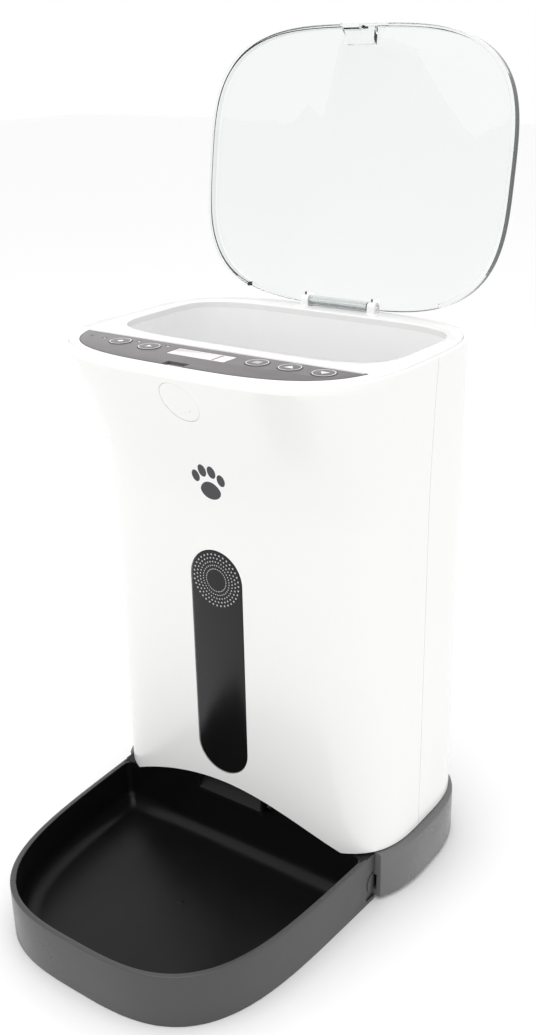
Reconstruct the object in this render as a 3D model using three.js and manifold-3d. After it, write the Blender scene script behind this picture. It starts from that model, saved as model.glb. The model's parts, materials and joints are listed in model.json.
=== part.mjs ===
// Automatic pet feeder: a tower with a food hopper, a metering rotor driven through gears, a chute,
// a removable feeding tray and a clear lid that stands open. Millimetres, +Z up, front towards -Y.
import * as THREE from 'three';
import { mergeVertices } from 'three/addons/utils/BufferGeometryUtils.js';
import Module from 'manifold-3d';

const wasm = await Module();
wasm.setup();

// ---------------------------------------------------------------- driving dimensions
const GAP = 0.3;
const WALL = 2.5;
const RING_POINTS = 48;

const TOWER = { halfWidth: 97.5, front: -72, back: 54.5, power: 3.5, bottom: 32.1, top: 308 };
const FLARE = { start: 225, end: 306, forward: 33.5, sideways: 2.5, backward: 2, power: 1.6 };
const LIP = { from: 303, topFront: -102.3, innerFront: -101.2 };
const SEAM_Y = -17;

const BASE = {
  halfWidth: 102, front: -83.7, back: 59.3, power: 2.6, backPower: 3.1, bottom: 2.3, top: 31.5,
};
const BAY = { halfWidth: 79.5, wallY: -57.6, cheekY: -51.5 };
const ARCH = { halfWidth: 75, foot: 32, crown: 55.4 };

const TRAY = { halfWidth: 89.5, front: -199, sidePower: 3.1, frontPower: 4.8, taper: 0.08, height: 31.5 };
const TRAY_REAR = { wallY: -61, outerY: -58.2, cheekY: -51.9, cheekX: 80 };
const BOWL = [[12, 3], [7.5, 4.4], [4.6, 8], [3.4, 13], [3, TRAY.height + 1]];
const BOWL_REAR = TRAY_REAR.wallY - 12;
const CHUTE_NOTCH = { halfWidth: 25, bottom: 37 };

const FRAME = { bottom: 304.8, top: 308.3 };
const HOPPER = {
  halfWidth: 88,
  front: -54.5,
  back: 40,
  power: 4.5,
  top: 304.4,
  shoulder: 178,
  bottom: 112.3,
};
const PANEL = { halfWidth: 91.5, front: -99, back: 50, power: 3.3, cutY: -63.5, floor: 306.8, top: 308.6 };
const LCD = { halfWidth: 18, front: -82, back: -71 };
const KEYS = [
  ['record_key', -54, -76],
  ['play_key', -33.5, -77],
  ['set_key', 33.1, -74.8],
  ['up_key', 51.5, -73.9],
  ['down_key', 70.7, -74.1],
];
const KEY = { radius: 5.9, hole: 6.25, stem: 1.8, stemHole: 2.3 };
const LIGHTS = [[-67, -74.1], [-46, -70.5], [-26.5, -70.5]];
const MIC = { x: -76.8, y: -73.4 };
const BOARD = { bottom: 296, top: 297.6, front: -83, back: -62 };

const HINGE = { y: 50.2, z: 311.4, openLean: 8.5, pinRadius: 1.25, boreRadius: 1.6 };
const BARREL = { radius: 2.7, halfWidth: 19.3 };
const LUG = { radius: 2.8, inner: 20, outer: 25, clearance: 0.4 };
const LID = { halfWidth: 97.5, reach: 149.5, behind: 2.1, power: 3.35, plate: [2.2, 4.2], skirtBottom: -2.5 };
const LID_WALL = 2;
const THUMB_WEB = { halfWidth: 9, back: -139, bottom: -1.2 };
const HOOK = { halfWidth: 5, frontY: -97.4, thickness: 1.7, bottom: 300.5 };
const SLOT = { halfWidth: 5.6, front: -98.9, back: -93 };
const BUTTON = { z: 289, radius: 11.3, thickness: 3, backY: -86.5 };

const WINDOW = { radius: 17.2, topZ: 184, bottomZ: 79.5, flange: 20.5 };

const ROTOR = { x: 0, y: -6, radius: 42, hub: 9, floor: 84, top: 112 };
const HOUSING = { inner: 44, outer: 47 };
const GEAR = { module: 1.25, bottom: 74, top: 80, driveTeeth: 32, idlerTeeth: 18, pinionTeeth: 10 };
const PLATE = { bottom: 68.5, top: 71.5 };
const MOTOR = { radius: 12, bottom: 45, top: 68.2 };

const CELL = { radius: 17.1, length: 61.5, pitch: 35.5, front: -19.5, z: 24.4 };
const CASE = { halfX: 54, front: -22.6, back: 45.6, top: 42.2, wall: 1.6 };
const DOOR = { halfX: 53.5, front: -22, back: 40, travel: 5.5 };

const FEET = [[-74, -34], [74, -34], [-66, 34], [66, 34]];
const BASE_SCREWS = [[-84, -22], [84, -22], [-66, 14], [66, 14]];
const JACK = { z: 17, radius: 5 };

// ---------------------------------------------------------------- solids
function solid(geometry) {
  const bare = geometry.clone();
  bare.deleteAttribute('normal');
  bare.deleteAttribute('uv');
  const merged = mergeVertices(bare, 1e-4);
  return new wasm.Manifold(new wasm.Mesh({
    numProp: 3,
    vertProperties: new Float32Array(merged.attributes.position.array),
    triVerts: new Uint32Array(merged.index.array),
  }));
}

function geometryOf(shape) {
  const mesh = shape.getMesh();
  const geometry = new THREE.BufferGeometry();
  geometry.setAttribute('position', new THREE.BufferAttribute(new Float32Array(mesh.vertProperties), 3));
  geometry.setIndex(new THREE.BufferAttribute(new Uint32Array(mesh.triVerts), 1));
  geometry.computeVertexNormals();
  return geometry;
}

const joined = (first, ...others) => others.reduce((shape, other) => shape.add(other), first);
const without = (first, ...others) => others.reduce((shape, other) => shape.subtract(other), first);

function box(x0, x1, y0, y1, z0, z1) {
  const geometry = new THREE.BoxGeometry(x1 - x0, y1 - y0, z1 - z0);
  geometry.translate((x0 + x1) / 2, (y0 + y1) / 2, (z0 + z1) / 2);
  return solid(geometry);
}

function prism(points, z0, z1) {
  const options = { depth: z1 - z0, bevelEnabled: false };
  const geometry = new THREE.ExtrudeGeometry(new THREE.Shape(points), options);
  geometry.translate(0, 0, z0);
  return solid(geometry);
}

// A profile drawn in X and Z, standing between two values of Y.
function slab(points, y0, y1) {
  const options = { depth: y1 - y0, bevelEnabled: false };
  const geometry = new THREE.ExtrudeGeometry(new THREE.Shape(points), options);
  geometry.rotateX(Math.PI / 2);
  geometry.translate(0, y1, 0);
  return solid(geometry);
}

// A profile drawn in Y and Z, standing between two values of X.
function cheek(points, x0, x1) {
  const options = { depth: x1 - x0, bevelEnabled: false };
  const geometry = new THREE.ExtrudeGeometry(new THREE.Shape(points), options);
  geometry.rotateX(Math.PI / 2);
  geometry.rotateZ(Math.PI / 2);
  geometry.translate(x0, 0, 0);
  return solid(geometry);
}

function drum(x, y, radius, z0, z1, sides = 24) {
  const geometry = new THREE.CylinderGeometry(radius, radius, z1 - z0, sides);
  geometry.rotateX(Math.PI / 2);
  geometry.translate(x, y, (z0 + z1) / 2);
  return solid(geometry);
}

function drumAlongY(x, z, radius, y0, y1, sides = 24) {
  const geometry = new THREE.CylinderGeometry(radius, radius, y1 - y0, sides);
  geometry.translate(x, (y0 + y1) / 2, z);
  return solid(geometry);
}

function drumAlongX(y, z, radius, x0, x1, sides = 16) {
  const geometry = new THREE.CylinderGeometry(radius, radius, x1 - x0, sides);
  geometry.rotateZ(Math.PI / 2);
  geometry.translate((x0 + x1) / 2, y, z);
  return solid(geometry);
}

// A turned piece: [radius, height] pairs about a vertical axis.
function turned(profile, x, y, sides = 24) {
  const geometry = new THREE.LatheGeometry(profile.map(([r, z]) => new THREE.Vector2(r, z)), sides);
  geometry.rotateX(Math.PI / 2);
  geometry.translate(x, y, 0);
  return solid(geometry);
}

// ---------------------------------------------------------------- plan outlines
// A rounded box in plan: a superellipse between a front and a back.
function plan({ halfWidth, front, back, power, backPower = power }, count = RING_POINTS) {
  const middle = (front + back) / 2;
  const halfDepth = (back - front) / 2;
  return Array.from({ length: count }, (_, i) => {
    const angle = (2 * Math.PI * (i + 0.5)) / count;
    const [c, s] = [Math.cos(angle), Math.sin(angle)];
    const bend = s > 0 ? backPower : power;
    const x = halfWidth * Math.sign(c) * Math.abs(c) ** (2 / bend);
    const y = middle + halfDepth * Math.sign(s) * Math.abs(s) ** (2 / bend);
    return new THREE.Vector2(x, y);
  });
}

const inset = (outline, by) => ({
  ...outline,
  halfWidth: outline.halfWidth - by,
  front: outline.front + by,
  back: outline.back - by,
});

// A closed skin over outlines stacked at rising heights: [[outline points, z], ...].
function loft(levels) {
  const count = levels[0][0].length;
  const positions = levels.flatMap(([points, z]) => points.flatMap(({ x, y }) => [x, y, z]));
  const index = [];
  for (let level = 0; level < levels.length - 1; level += 1) {
    for (let i = 0; i < count; i += 1) {
      const a = level * count + i;
      const b = level * count + ((i + 1) % count);
      index.push(a, b, b + count, a, b + count, a + count);
    }
  }
  const last = (levels.length - 1) * count;
  for (let i = 1; i < count - 1; i += 1) {
    index.push(0, i + 1, i, last, last + i, last + i + 1);
  }
  const geometry = new THREE.BufferGeometry();
  geometry.setAttribute('position', new THREE.BufferAttribute(new Float32Array(positions), 3));
  geometry.setIndex(index);
  return solid(geometry);
}

// How far the tower has flared at a height, from 0 below the flare to 1 at its end.
function flareAt(z) {
  const share = (z - FLARE.start) / (FLARE.end - FLARE.start);
  return Math.min(Math.max(share, 0), 1) ** FLARE.power;
}

function towerFront(z) {
  const flared = TOWER.front - FLARE.forward * flareAt(z);
  if (z <= LIP.from) return flared;
  const roll = ((z - LIP.from) / (TOWER.top - LIP.from)) ** 2;
  const start = TOWER.front - FLARE.forward * flareAt(LIP.from);
  return THREE.MathUtils.lerp(start, LIP.topFront, roll);
}

const towerOutline = (z) => ({
  halfWidth: TOWER.halfWidth + FLARE.sideways * flareAt(z),
  front: towerFront(z),
  back: TOWER.back + FLARE.backward * flareAt(z),
  power: TOWER.power,
});

function towerInner(z) {
  const outline = inset(towerOutline(z), WALL);
  if (z > LIP.from) outline.front = LIP.innerFront;
  return outline;
}

const TOWER_LEVELS = [225, 242, 258, 272, 284, 294, 303, 306];

function archProfile(lift, foot) {
  const rise = ARCH.crown - ARCH.foot;
  const radius = (ARCH.halfWidth ** 2 + rise ** 2) / (2 * rise) + lift;
  const centre = ARCH.crown + lift - radius;
  const half = Math.sqrt(radius ** 2 - (foot - centre) ** 2);
  const start = Math.atan2(foot - centre, half);
  const steps = 18;
  return Array.from({ length: steps + 1 }, (_, i) => {
    const angle = THREE.MathUtils.lerp(start, Math.PI - start, i / steps);
    return new THREE.Vector2(radius * Math.cos(angle), centre + radius * Math.sin(angle));
  });
}

// The arch with legs that reach down to a level.
function archWithLegs(lift, bottom) {
  const arc = archProfile(lift, ARCH.foot);
  return [...arc, new THREE.Vector2(arc.at(-1).x, bottom), new THREE.Vector2(arc[0].x, bottom)];
}

function stadium(radius, z0, z1) {
  const shape = new THREE.Shape();
  shape.absarc(0, z1, radius, 0, Math.PI, false);
  shape.absarc(0, z0, radius, Math.PI, 2 * Math.PI, false);
  return shape.getPoints(12).slice(0, -1);
}

// ---------------------------------------------------------------- casing
function towerSkin() {
  const heights = [TOWER.bottom, ...TOWER_LEVELS, TOWER.top];
  return loft(heights.map((z) => [plan(towerOutline(z)), z]));
}

function towerShell() {
  const heights = [TOWER.bottom - 1, ...TOWER_LEVELS.slice(0, -1), LIP.from + 0.01, TOWER.top + 1];
  const hollow = loft(heights.map((z) => [plan(towerInner(z)), z]));
  return towerSkin().subtract(hollow);
}

function chuteGuards() {
  return [-1, 1].map((side) => {
    const x = side * (CHUTE_NOTCH.halfWidth + 1.6);
    return box(x - 0.7, x + 0.7, TOWER.front + WALL - 0.2, TRAY_REAR.outerY - 7, 46, 66);
  });
}

function frontShell(shell) {
  const half = without(shell, box(-120, 120, SEAM_Y - GAP / 2, 80, 0, 320));
  return without(
    joined(half, ...chuteGuards()),
    slab(archWithLegs(0, 20), -110, -50),
    slab(stadium(WINDOW.radius + GAP, WINDOW.bottomZ, WINDOW.topZ), -80, -60),
    drumAlongY(0, BUTTON.z, BUTTON.radius + GAP, -120, -80, 32),
  );
}

function rearShell(shell) {
  return without(shell, box(-120, 120, -130, SEAM_Y + GAP / 2, 0, 320));
}

// The lens-shaped front of a rounded outline, straight along its back.
function panelBlank(grow, z0, z1) {
  return prism(plan(inset(PANEL, -grow)), z0, z1).subtract(
    box(-120, 120, PANEL.cutY + grow, 80, z0 - 1, z1 + 1),
  );
}

function hingeLugs() {
  return [-1, 1].flatMap((side) => {
    const [x0, x1] = side > 0 ? [LUG.inner, LUG.outer] : [-LUG.outer, -LUG.inner];
    return [
      drumAlongX(HINGE.y, HINGE.z, LUG.radius, x0, x1),
      box(x0, x1, HINGE.y - LUG.radius, HINGE.y + LUG.radius, FRAME.top - 1, HINGE.z),
    ];
  });
}

function topFrame() {
  const top = { ...inset(towerInner(TOWER.top), GAP), power: TOWER.power };
  const opening = inset(HOPPER, 1.5);
  return without(
    joined(prism(plan(top), FRAME.bottom, FRAME.top), ...hingeLugs()),
    prism(plan(opening), FRAME.bottom - 1, FRAME.top + 1),
    panelBlank(GAP, PANEL.floor, FRAME.top + 1),
    box(-SLOT.halfWidth, SLOT.halfWidth, SLOT.front, SLOT.back, 300, 312),
    box(-15.5, 15.5, LCD.front + 1.5, LCD.back - 1.5, 300, 312),
    ...KEYS.map(([, x, y]) => drum(x, y, KEY.stemHole, 300, 312, 12)),
    ...LIGHTS.map(([x, y]) => drum(x, y, 1.4, 300, 312, 8)),
    drum(MIC.x, MIC.y, 1.2, 300, 312, 12),
    drumAlongX(HINGE.y, HINGE.z, HINGE.boreRadius, -40, 40, 12),
  );
}

function controlPanel() {
  const opening = 0.25;
  return without(
    panelBlank(0, PANEL.floor + GAP, PANEL.top),
    box(-SLOT.halfWidth - 1, SLOT.halfWidth + 1, -110, SLOT.back - 0.5, 300, 312),
    box(-LCD.halfWidth - opening, LCD.halfWidth + opening, LCD.front - opening, LCD.back + opening, 300, 312),
    ...KEYS.map(([, x, y]) => drum(x, y, KEY.hole, 300, 312, 20)),
    ...LIGHTS.map(([x, y]) => drum(x, y, 1.3, 300, 312, 8)),
    drum(MIC.x, MIC.y, 0.8, 300, 312, 12),
  );
}

function key(x, y) {
  return joined(drum(x, y, KEY.radius, 307.6, 309, 20), drum(x, y, KEY.stem, 301.2, 308, 8));
}

function controlBoard() {
  const switches = KEYS.map(([, x, y]) => box(x - 3, x + 3, y - 3, y + 3, BOARD.top - 0.5, 300.4));
  return joined(box(-72, 77, BOARD.front, BOARD.back, BOARD.bottom, BOARD.top), ...switches);
}

// ---------------------------------------------------------------- lid and latch
// The lid is drawn closed, with its hinge axis as origin and +Y towards the back.
function lid() {
  const outline = { halfWidth: LID.halfWidth, front: -LID.reach, back: LID.behind, power: LID.power };
  const [under, over] = LID.plate;
  const shell = prism(plan(outline), LID.skirtBottom, over).subtract(
    prism(plan(inset(outline, LID_WALL)), LID.skirtBottom - 1, under),
  );
  const hookY = HOOK.frontY - HINGE.y;
  const hookZ = HOOK.bottom - HINGE.z;
  const barb = [[0, 0], [0, 2.2], [1.4, 2.2]].map(([y, z]) => (
    new THREE.Vector2(hookY + HOOK.thickness - 0.1 + y, hookZ + z)
  ));
  const body = without(
    shell,
    box(-64, 64, -7, 8, LID.skirtBottom - 1, under),
    box(LUG.inner - LUG.clearance, LUG.outer + LUG.clearance, -4.2, 8, -8, 8),
    box(-LUG.outer - LUG.clearance, LUG.clearance - LUG.inner, -4.2, 8, -8, 8),
  );
  return joined(
    body,
    drumAlongX(0, 0, BARREL.radius, -BARREL.halfWidth, BARREL.halfWidth),
    box(-HOOK.halfWidth, HOOK.halfWidth, hookY, hookY + HOOK.thickness, hookZ, under + 0.2),
    cheek(barb, -HOOK.halfWidth, HOOK.halfWidth),
    box(
      -THUMB_WEB.halfWidth,
      THUMB_WEB.halfWidth,
      -LID.reach + 1.5,
      THUMB_WEB.back,
      THUMB_WEB.bottom,
      under + 0.2,
    ),
  ).subtract(drumAlongX(0, 0, HINGE.boreRadius, -30, 30, 12));
}

function releaseButton(skin) {
  const cap = drumAlongY(0, BUTTON.z, BUTTON.radius, -120, -80, 32)
    .intersect(skin)
    .subtract(skin.translate([0, BUTTON.thickness, 0]));
  const seat = box(-4.5, 4.5, -93, BUTTON.backY, BUTTON.z - 5, BUTTON.z + 3);
  const arm = box(-4.5, 4.5, BUTTON.backY - 3, BUTTON.backY, BUTTON.z, 304.5);
  const nose = box(-4.5, 4.5, -92.6, BUTTON.backY - 2, 302.9, 304.5);
  return joined(cap, seat, arm, nose);
}

function latchBracket() {
  return joined(
    box(-21, 21, -79, -77, 281, 294.5),
    box(-21, -19, -90.7, -77, 287.5, 293),
    box(19, 21, -90.7, -77, 287.5, 293),
  );
}

// ---------------------------------------------------------------- feeding parts
function hopper() {
  const throat = { halfWidth: 42, front: ROTOR.y - 42, back: ROTOR.y + 42, power: 2 };
  const between = (share) => ({
    halfWidth: THREE.MathUtils.lerp(HOPPER.halfWidth - 1.5, throat.halfWidth, share),
    front: THREE.MathUtils.lerp(HOPPER.front, throat.front, share),
    back: THREE.MathUtils.lerp(HOPPER.back, throat.back, share),
    power: THREE.MathUtils.lerp(HOPPER.power, throat.power, share),
  });
  const levels = [
    [throat, HOPPER.bottom],
    [throat, HOPPER.bottom + 4],
    [between(0.75), 136],
    [between(0.35), 158],
    [between(0), HOPPER.shoulder],
    [HOPPER, HOPPER.top],
  ];
  const wall = 1.8;
  const outside = loft(levels.map(([outline, z]) => [plan(outline, 48), z]));
  const inner = levels.map(([outline, z]) => [plan(inset(outline, wall), 48), z]);
  inner[0][1] -= 1;
  inner.at(-1)[1] += 1;
  return outside.subtract(loft(inner));
}

function rotorHousing() {
  const { x, y, floor, top } = ROTOR;
  const cup = drum(x, y, HOUSING.outer, floor, top, 48).subtract(
    drum(x, y, HOUSING.inner, floor + 3, top + 1, 48),
  );
  const sector = new THREE.Shape();
  sector.moveTo(x, y - 12);
  sector.absarc(x, y, HOUSING.inner + 1, -Math.PI * 0.78, -Math.PI * 0.22, false);
  const cover = prism(sector.getPoints(14), top - 2.2, top);
  return without(
    joined(cup, cover),
    box(-20, 20, -49.8, -32.2, floor - 1, floor + 4),
    drum(x, y, 3.4, floor - 1, floor + 4, 16),
  );
}

function feedRotor() {
  const { x, y, radius, hub } = ROTOR;
  const paddles = Array.from({ length: 6 }, (_, i) => {
    const geometry = new THREE.BoxGeometry(radius - 2, 2.4, 20);
    geometry.translate((radius - 2) / 2 + 2, 0, 98);
    geometry.rotateZ((i * Math.PI) / 3 + 0.3);
    geometry.translate(x, y, 0);
    return solid(geometry);
  });
  const hubAndStirrer = turned([[0, 88], [hub, 88], [hub, 108.5], [6, 113], [3, 128], [0, 129]], x, y);
  return joined(hubAndStirrer, ...paddles).subtract(drum(x, y, 3.3, 80, 101, 16));
}

// A spur gear in plan, with straight-sided teeth and running clearance.
function gear(teeth, x, y, turn, z0, z1) {
  const pitchRadius = (GEAR.module * teeth) / 2;
  const pitch = Math.PI * GEAR.module;
  const tip = pitchRadius + 0.8 * GEAR.module;
  const root = pitchRadius - 1.25 * GEAR.module;
  const halfAt = (radius) => (0.19 * pitch - (radius - pitchRadius) * Math.tan(Math.PI / 9)) / radius;
  const outline = [];
  for (let i = 0; i < teeth; i += 1) {
    const centre = turn + (2 * Math.PI * i) / teeth;
    for (const [radius, side] of [[root, -1], [tip, -1], [tip, 1], [root, 1]]) {
      const angle = centre + side * halfAt(radius);
      outline.push(new THREE.Vector2(x + radius * Math.cos(angle), y + radius * Math.sin(angle)));
    }
  }
  return prism(outline, z0, z1);
}

const IDLER_DIRECTION = Math.PI / 6;
const PINION_DIRECTION = (2 * Math.PI) / 3;
const driveToIdler = (GEAR.module * (GEAR.driveTeeth + GEAR.idlerTeeth)) / 2;
const idlerToPinion = (GEAR.module * (GEAR.idlerTeeth + GEAR.pinionTeeth)) / 2;
const IDLER = {
  x: ROTOR.x + driveToIdler * Math.cos(IDLER_DIRECTION),
  y: ROTOR.y + driveToIdler * Math.sin(IDLER_DIRECTION),
};
const PINION = {
  x: IDLER.x + idlerToPinion * Math.cos(PINION_DIRECTION),
  y: IDLER.y + idlerToPinion * Math.sin(PINION_DIRECTION),
};

// The turn that puts a gap of the second gear where a tooth of the first points at it.
function meshTurn(direction, teeth) {
  return direction + Math.PI + Math.PI / teeth;
}

function gearTrain() {
  const driveTurn = IDLER_DIRECTION;
  const idlerTurn = meshTurn(IDLER_DIRECTION, GEAR.idlerTeeth);
  const idlerPitch = (2 * Math.PI) / GEAR.idlerTeeth;
  const offset = (((PINION_DIRECTION - idlerTurn) % idlerPitch) + idlerPitch) % idlerPitch;
  const idlerLead = (offset * GEAR.idlerTeeth) / GEAR.pinionTeeth;
  const pinionTurn = meshTurn(PINION_DIRECTION, GEAR.pinionTeeth) + idlerLead;
  const { bottom, top } = GEAR;
  return {
    drive: gear(GEAR.driveTeeth, ROTOR.x, ROTOR.y, driveTurn, bottom, top)
      .subtract(drum(ROTOR.x, ROTOR.y, 3.3, bottom - 1, top + 1, 16)),
    idler: gear(GEAR.idlerTeeth, IDLER.x, IDLER.y, idlerTurn, bottom, top)
      .subtract(drum(IDLER.x, IDLER.y, 2.3, bottom - 1, top + 1, 16)),
    pinion: gear(GEAR.pinionTeeth, PINION.x, PINION.y, pinionTurn, bottom, top)
      .subtract(drum(PINION.x, PINION.y, 1.8, bottom - 1, top + 1, 12)),
  };
}

function gearPlate() {
  const corners = [[-24, -24], [46, -24], [46, 44], [-24, 44]].map(([x, y]) => new THREE.Vector2(x, y));
  return without(
    prism(corners, PLATE.bottom, PLATE.top),
    drum(ROTOR.x, ROTOR.y, 3.4, 60, 80, 16),
    drum(IDLER.x, IDLER.y, 2.3, 60, 80, 16),
    drum(PINION.x, PINION.y, 3.5, 60, 80, 16),
  );
}

function chute() {
  const at = (pairs) => pairs.map(([y, z]) => new THREE.Vector2(y, z));
  const outside = at([
    [-30.2, 68.7], [-67.8, 38.6], [-67.8, 54], [-51.8, 76], [-51.8, 83.6], [-30.2, 83.6],
  ]);
  const inside = at([
    [-31.8, 69.5], [-72, 37.4], [-72, 45.4], [-50.2, 75.4], [-50.2, 90], [-31.8, 90],
  ]);
  return cheek(outside, -23.8, 23.8).subtract(cheek(inside, -22.2, 22.2));
}

// ---------------------------------------------------------------- base
function baseHousing() {
  const { bottom, top } = BASE;
  const floor = bottom - 1;
  const skirt = prism(plan(BASE), bottom, top).subtract(box(-120, 120, -120, BAY.cheekY, 0, 60));
  const front = box(-BAY.halfWidth, BAY.halfWidth, BAY.wallY, BAY.cheekY + 6, bottom, top);
  const archWall = slab(archWithLegs(2.6, 10), BAY.wallY, BAY.wallY + 2);
  const hollow = prism(plan(inset(BASE, WALL)), floor, top - WALL)
    .subtract(box(-120, 120, -120, BAY.cheekY + WALL, 0, 60));
  const hollowX = BAY.halfWidth - 3;
  const frontHollow = box(-hollowX, hollowX, BAY.wallY + WALL, BAY.cheekY + 8, floor, top - WALL);
  const deckHole = box(-86, 86, -47, 48.2, 20, 40).intersect(prism(plan(inset(BASE, 6)), 20, 40));
  const bosses = BASE_SCREWS.map(([x, y]) => drum(x, y, 4, 5.4, top - 1, 16));
  const bars = BASE_SCREWS.map(([x, y]) => {
    const out = Math.sign(x) * (BASE.halfWidth - 4);
    return box(Math.min(x, out), Math.max(x, out), y - 1.5, y + 1.5, 6, top - 1);
  });
  const carcass = without(joined(skirt, front, archWall), hollow, frontHollow, deckHole);
  return without(
    joined(carcass, ...bosses, ...bars.map((bar) => bar.intersect(prism(plan(inset(BASE, 1)), 0, top)))),
    ...BASE_SCREWS.map(([x, y]) => drum(x, y, 1.9, 4, 20, 12)),
    box(-CHUTE_NOTCH.halfWidth, CHUTE_NOTCH.halfWidth, -60, -50, 45.5, 70),
    drumAlongY(0, JACK.z, JACK.radius + GAP, 50, 70),
    box(82.5, 90.5, BAY.cheekY - 1, BAY.cheekY + WALL + 1, 6.5, 16.5),
    box(-90.5, -82.5, BAY.cheekY - 1, BAY.cheekY + WALL + 1, 6.5, 16.5),
  );
}

function basePlate() {
  const { bottom } = BASE;
  const back = prism(plan(inset(BASE, WALL + 0.4)), bottom, bottom + 2.8)
    .subtract(box(-120, 120, -120, BAY.cheekY + WALL + 0.4, 0, 60));
  const frontHalf = BAY.halfWidth - 3.4;
  const front = box(-frontHalf, frontHalf, BAY.wallY + WALL + 0.4, BAY.cheekY + 8, bottom, bottom + 2.8);
  return without(
    joined(back, front),
    box(
      -DOOR.halfX - GAP,
      DOOR.halfX + GAP,
      DOOR.front - GAP,
      DOOR.back + DOOR.travel + 0.6,
      0,
      bottom + 1.9,
    ),
    box(GAP - CASE.halfX + 2, CASE.halfX - 2 - GAP, CASE.front + 3, DOOR.back - 3, 0, 10),
    ...FEET.map(([x, y]) => drum(x, y, 8.3, 0, bottom + 1.3, 24)),
    ...BASE_SCREWS.flatMap(([x, y]) => [drum(x, y, 1.9, 0, 10, 12), drum(x, y, 3.6, 0, bottom + 1.6, 16)]),
  );
}

function batteryCase() {
  const { halfX, front, back, top, wall } = CASE;
  const bottom = BASE.bottom + 3.1;
  return box(-halfX - wall, halfX + wall, front - wall, back + wall, bottom, top + wall)
    .subtract(box(-halfX, halfX, front, back, bottom - 1, top));
}

function screw(x, y) {
  return turned([[0, 2.6], [3.2, 2.6], [3.2, 3.6], [1.5, 3.6], [1.5, 17], [0, 18]], x, y, 12);
}

function jack() {
  return joined(
    box(-6, 6, 48.4, 56, JACK.z - 6, JACK.z + 6),
    drumAlongY(0, JACK.z, JACK.radius, 54, 58.9),
  ).subtract(drumAlongY(0, JACK.z, 3.2, 50, 60).subtract(drumAlongY(0, JACK.z, 1, 40, 58)));
}

// ---------------------------------------------------------------- tray
// The tray's rounded front and its sides, which draw in towards the front, at an inset from the outer walls.
function trayFront(by, rear) {
  const { halfWidth, front, sidePower, frontPower, taper } = TRAY;
  const depth = TRAY_REAR.cheekY - front;
  const steps = 40;
  const curve = Array.from({ length: steps + 1 }, (_, i) => {
    const angle = Math.PI + (Math.PI * i) / steps;
    const [c, s] = [Math.cos(angle), Math.sin(angle)];
    const forward = Math.abs(s) ** (2 / frontPower);
    const reach = (halfWidth * (1 - taper * forward) - by) * Math.abs(c) ** (2 / sidePower);
    return new THREE.Vector2(Math.sign(c) * reach, TRAY_REAR.cheekY - (depth - by) * forward);
  });
  return curve.filter(({ y }) => y < rear - 0.5);
}

function trayOutline() {
  const { halfWidth } = TRAY;
  const { cheekY, cheekX, outerY } = TRAY_REAR;
  const corners = [[halfWidth, cheekY], [cheekX, cheekY], [cheekX, outerY]];
  const right = corners.map(([x, y]) => new THREE.Vector2(x, y));
  const left = right.map(({ x, y }) => new THREE.Vector2(-x, y)).reverse();
  return [...trayFront(0, cheekY), ...right, ...left];
}

// The bowl's inside at an inset from the outer walls, its rear edge straight.
function bowlOutline(by) {
  const wall = BOWL.at(-1)[0];
  const rear = TRAY_REAR.wallY - (by - wall);
  const side = TRAY.halfWidth - 0.5 - by;
  return [...trayFront(by, BOWL_REAR), new THREE.Vector2(side, rear), new THREE.Vector2(-side, rear)];
}

function feedingTray() {
  const bowl = loft(BOWL.map(([by, z]) => [bowlOutline(by), z]));
  const wall = slab(archWithLegs(-1, 20), TRAY_REAR.wallY, TRAY_REAR.outerY);
  return without(
    joined(prism(trayOutline(), 0, TRAY.height).subtract(bowl), wall),
    box(-CHUTE_NOTCH.halfWidth, CHUTE_NOTCH.halfWidth, -64, -50, CHUTE_NOTCH.bottom, 70),
    box(83.4, 95, -60.2, -51, 2.6, 19.9),
    box(-95, -83.4, -60.2, -51, 2.6, 19.9),
  );
}

function trayLatch(side) {
  const pad = drumAlongX(-52.3, 12, 6.6, 86, 89.2, 32).intersect(box(86, 90, -60, -52.3, 0, 30));
  const right = joined(
    box(86.6, 88.4, -59.8, -52.3, 3, 19.5),
    pad,
    box(86.6, 88.2, -54, -49.2, 8, 15),
  );
  return side > 0 ? right : right.mirror([1, 0, 0]);
}

// ---------------------------------------------------------------- small inner parts
function spring(y0, y1) {
  const coils = 4;
  const pitch = (y1 - y0) / coils;
  const profile = [[2.6, y0]];
  for (let i = 0; i < coils; i += 1) {
    profile.push([4, y0 + pitch * (i + 0.1)], [4, y0 + pitch * (i + 0.6)], [3.3, y0 + pitch * (i + 0.85)]);
  }
  profile.push([2.6, y1], [2.6, y0]);
  const geometry = new THREE.LatheGeometry(profile.map(([r, y]) => new THREE.Vector2(r, y)), 16);
  geometry.translate(0, 0, BUTTON.z);
  return solid(geometry);
}

function cell(x) {
  const { radius, length, front, z } = CELL;
  const geometry = new THREE.LatheGeometry([
    [0, front], [4.7, front], [4.7, front + 1.4], [radius, front + 1.6],
    [radius, front + length - 0.3], [0, front + length - 0.3],
  ].map(([r, y]) => new THREE.Vector2(r, y)), 24);
  geometry.translate(x, 0, z);
  return solid(geometry);
}

function speaker() {
  const geometry = new THREE.LatheGeometry([
    [0, -67.3], [17, -67.3], [17, -65], [12, -60.5], [9, -60.5], [9, -57.2], [0, -57.2],
  ].map(([r, y]) => new THREE.Vector2(r, y)), 24);
  geometry.translate(0, 0, WINDOW.topZ);
  return solid(geometry);
}

function frontWindow() {
  return joined(
    slab(stadium(WINDOW.radius, WINDOW.bottomZ, WINDOW.topZ), TOWER.front, -67.8),
    slab(stadium(WINDOW.flange, WINDOW.bottomZ, WINDOW.topZ), -69.2, -67.8),
  );
}

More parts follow.
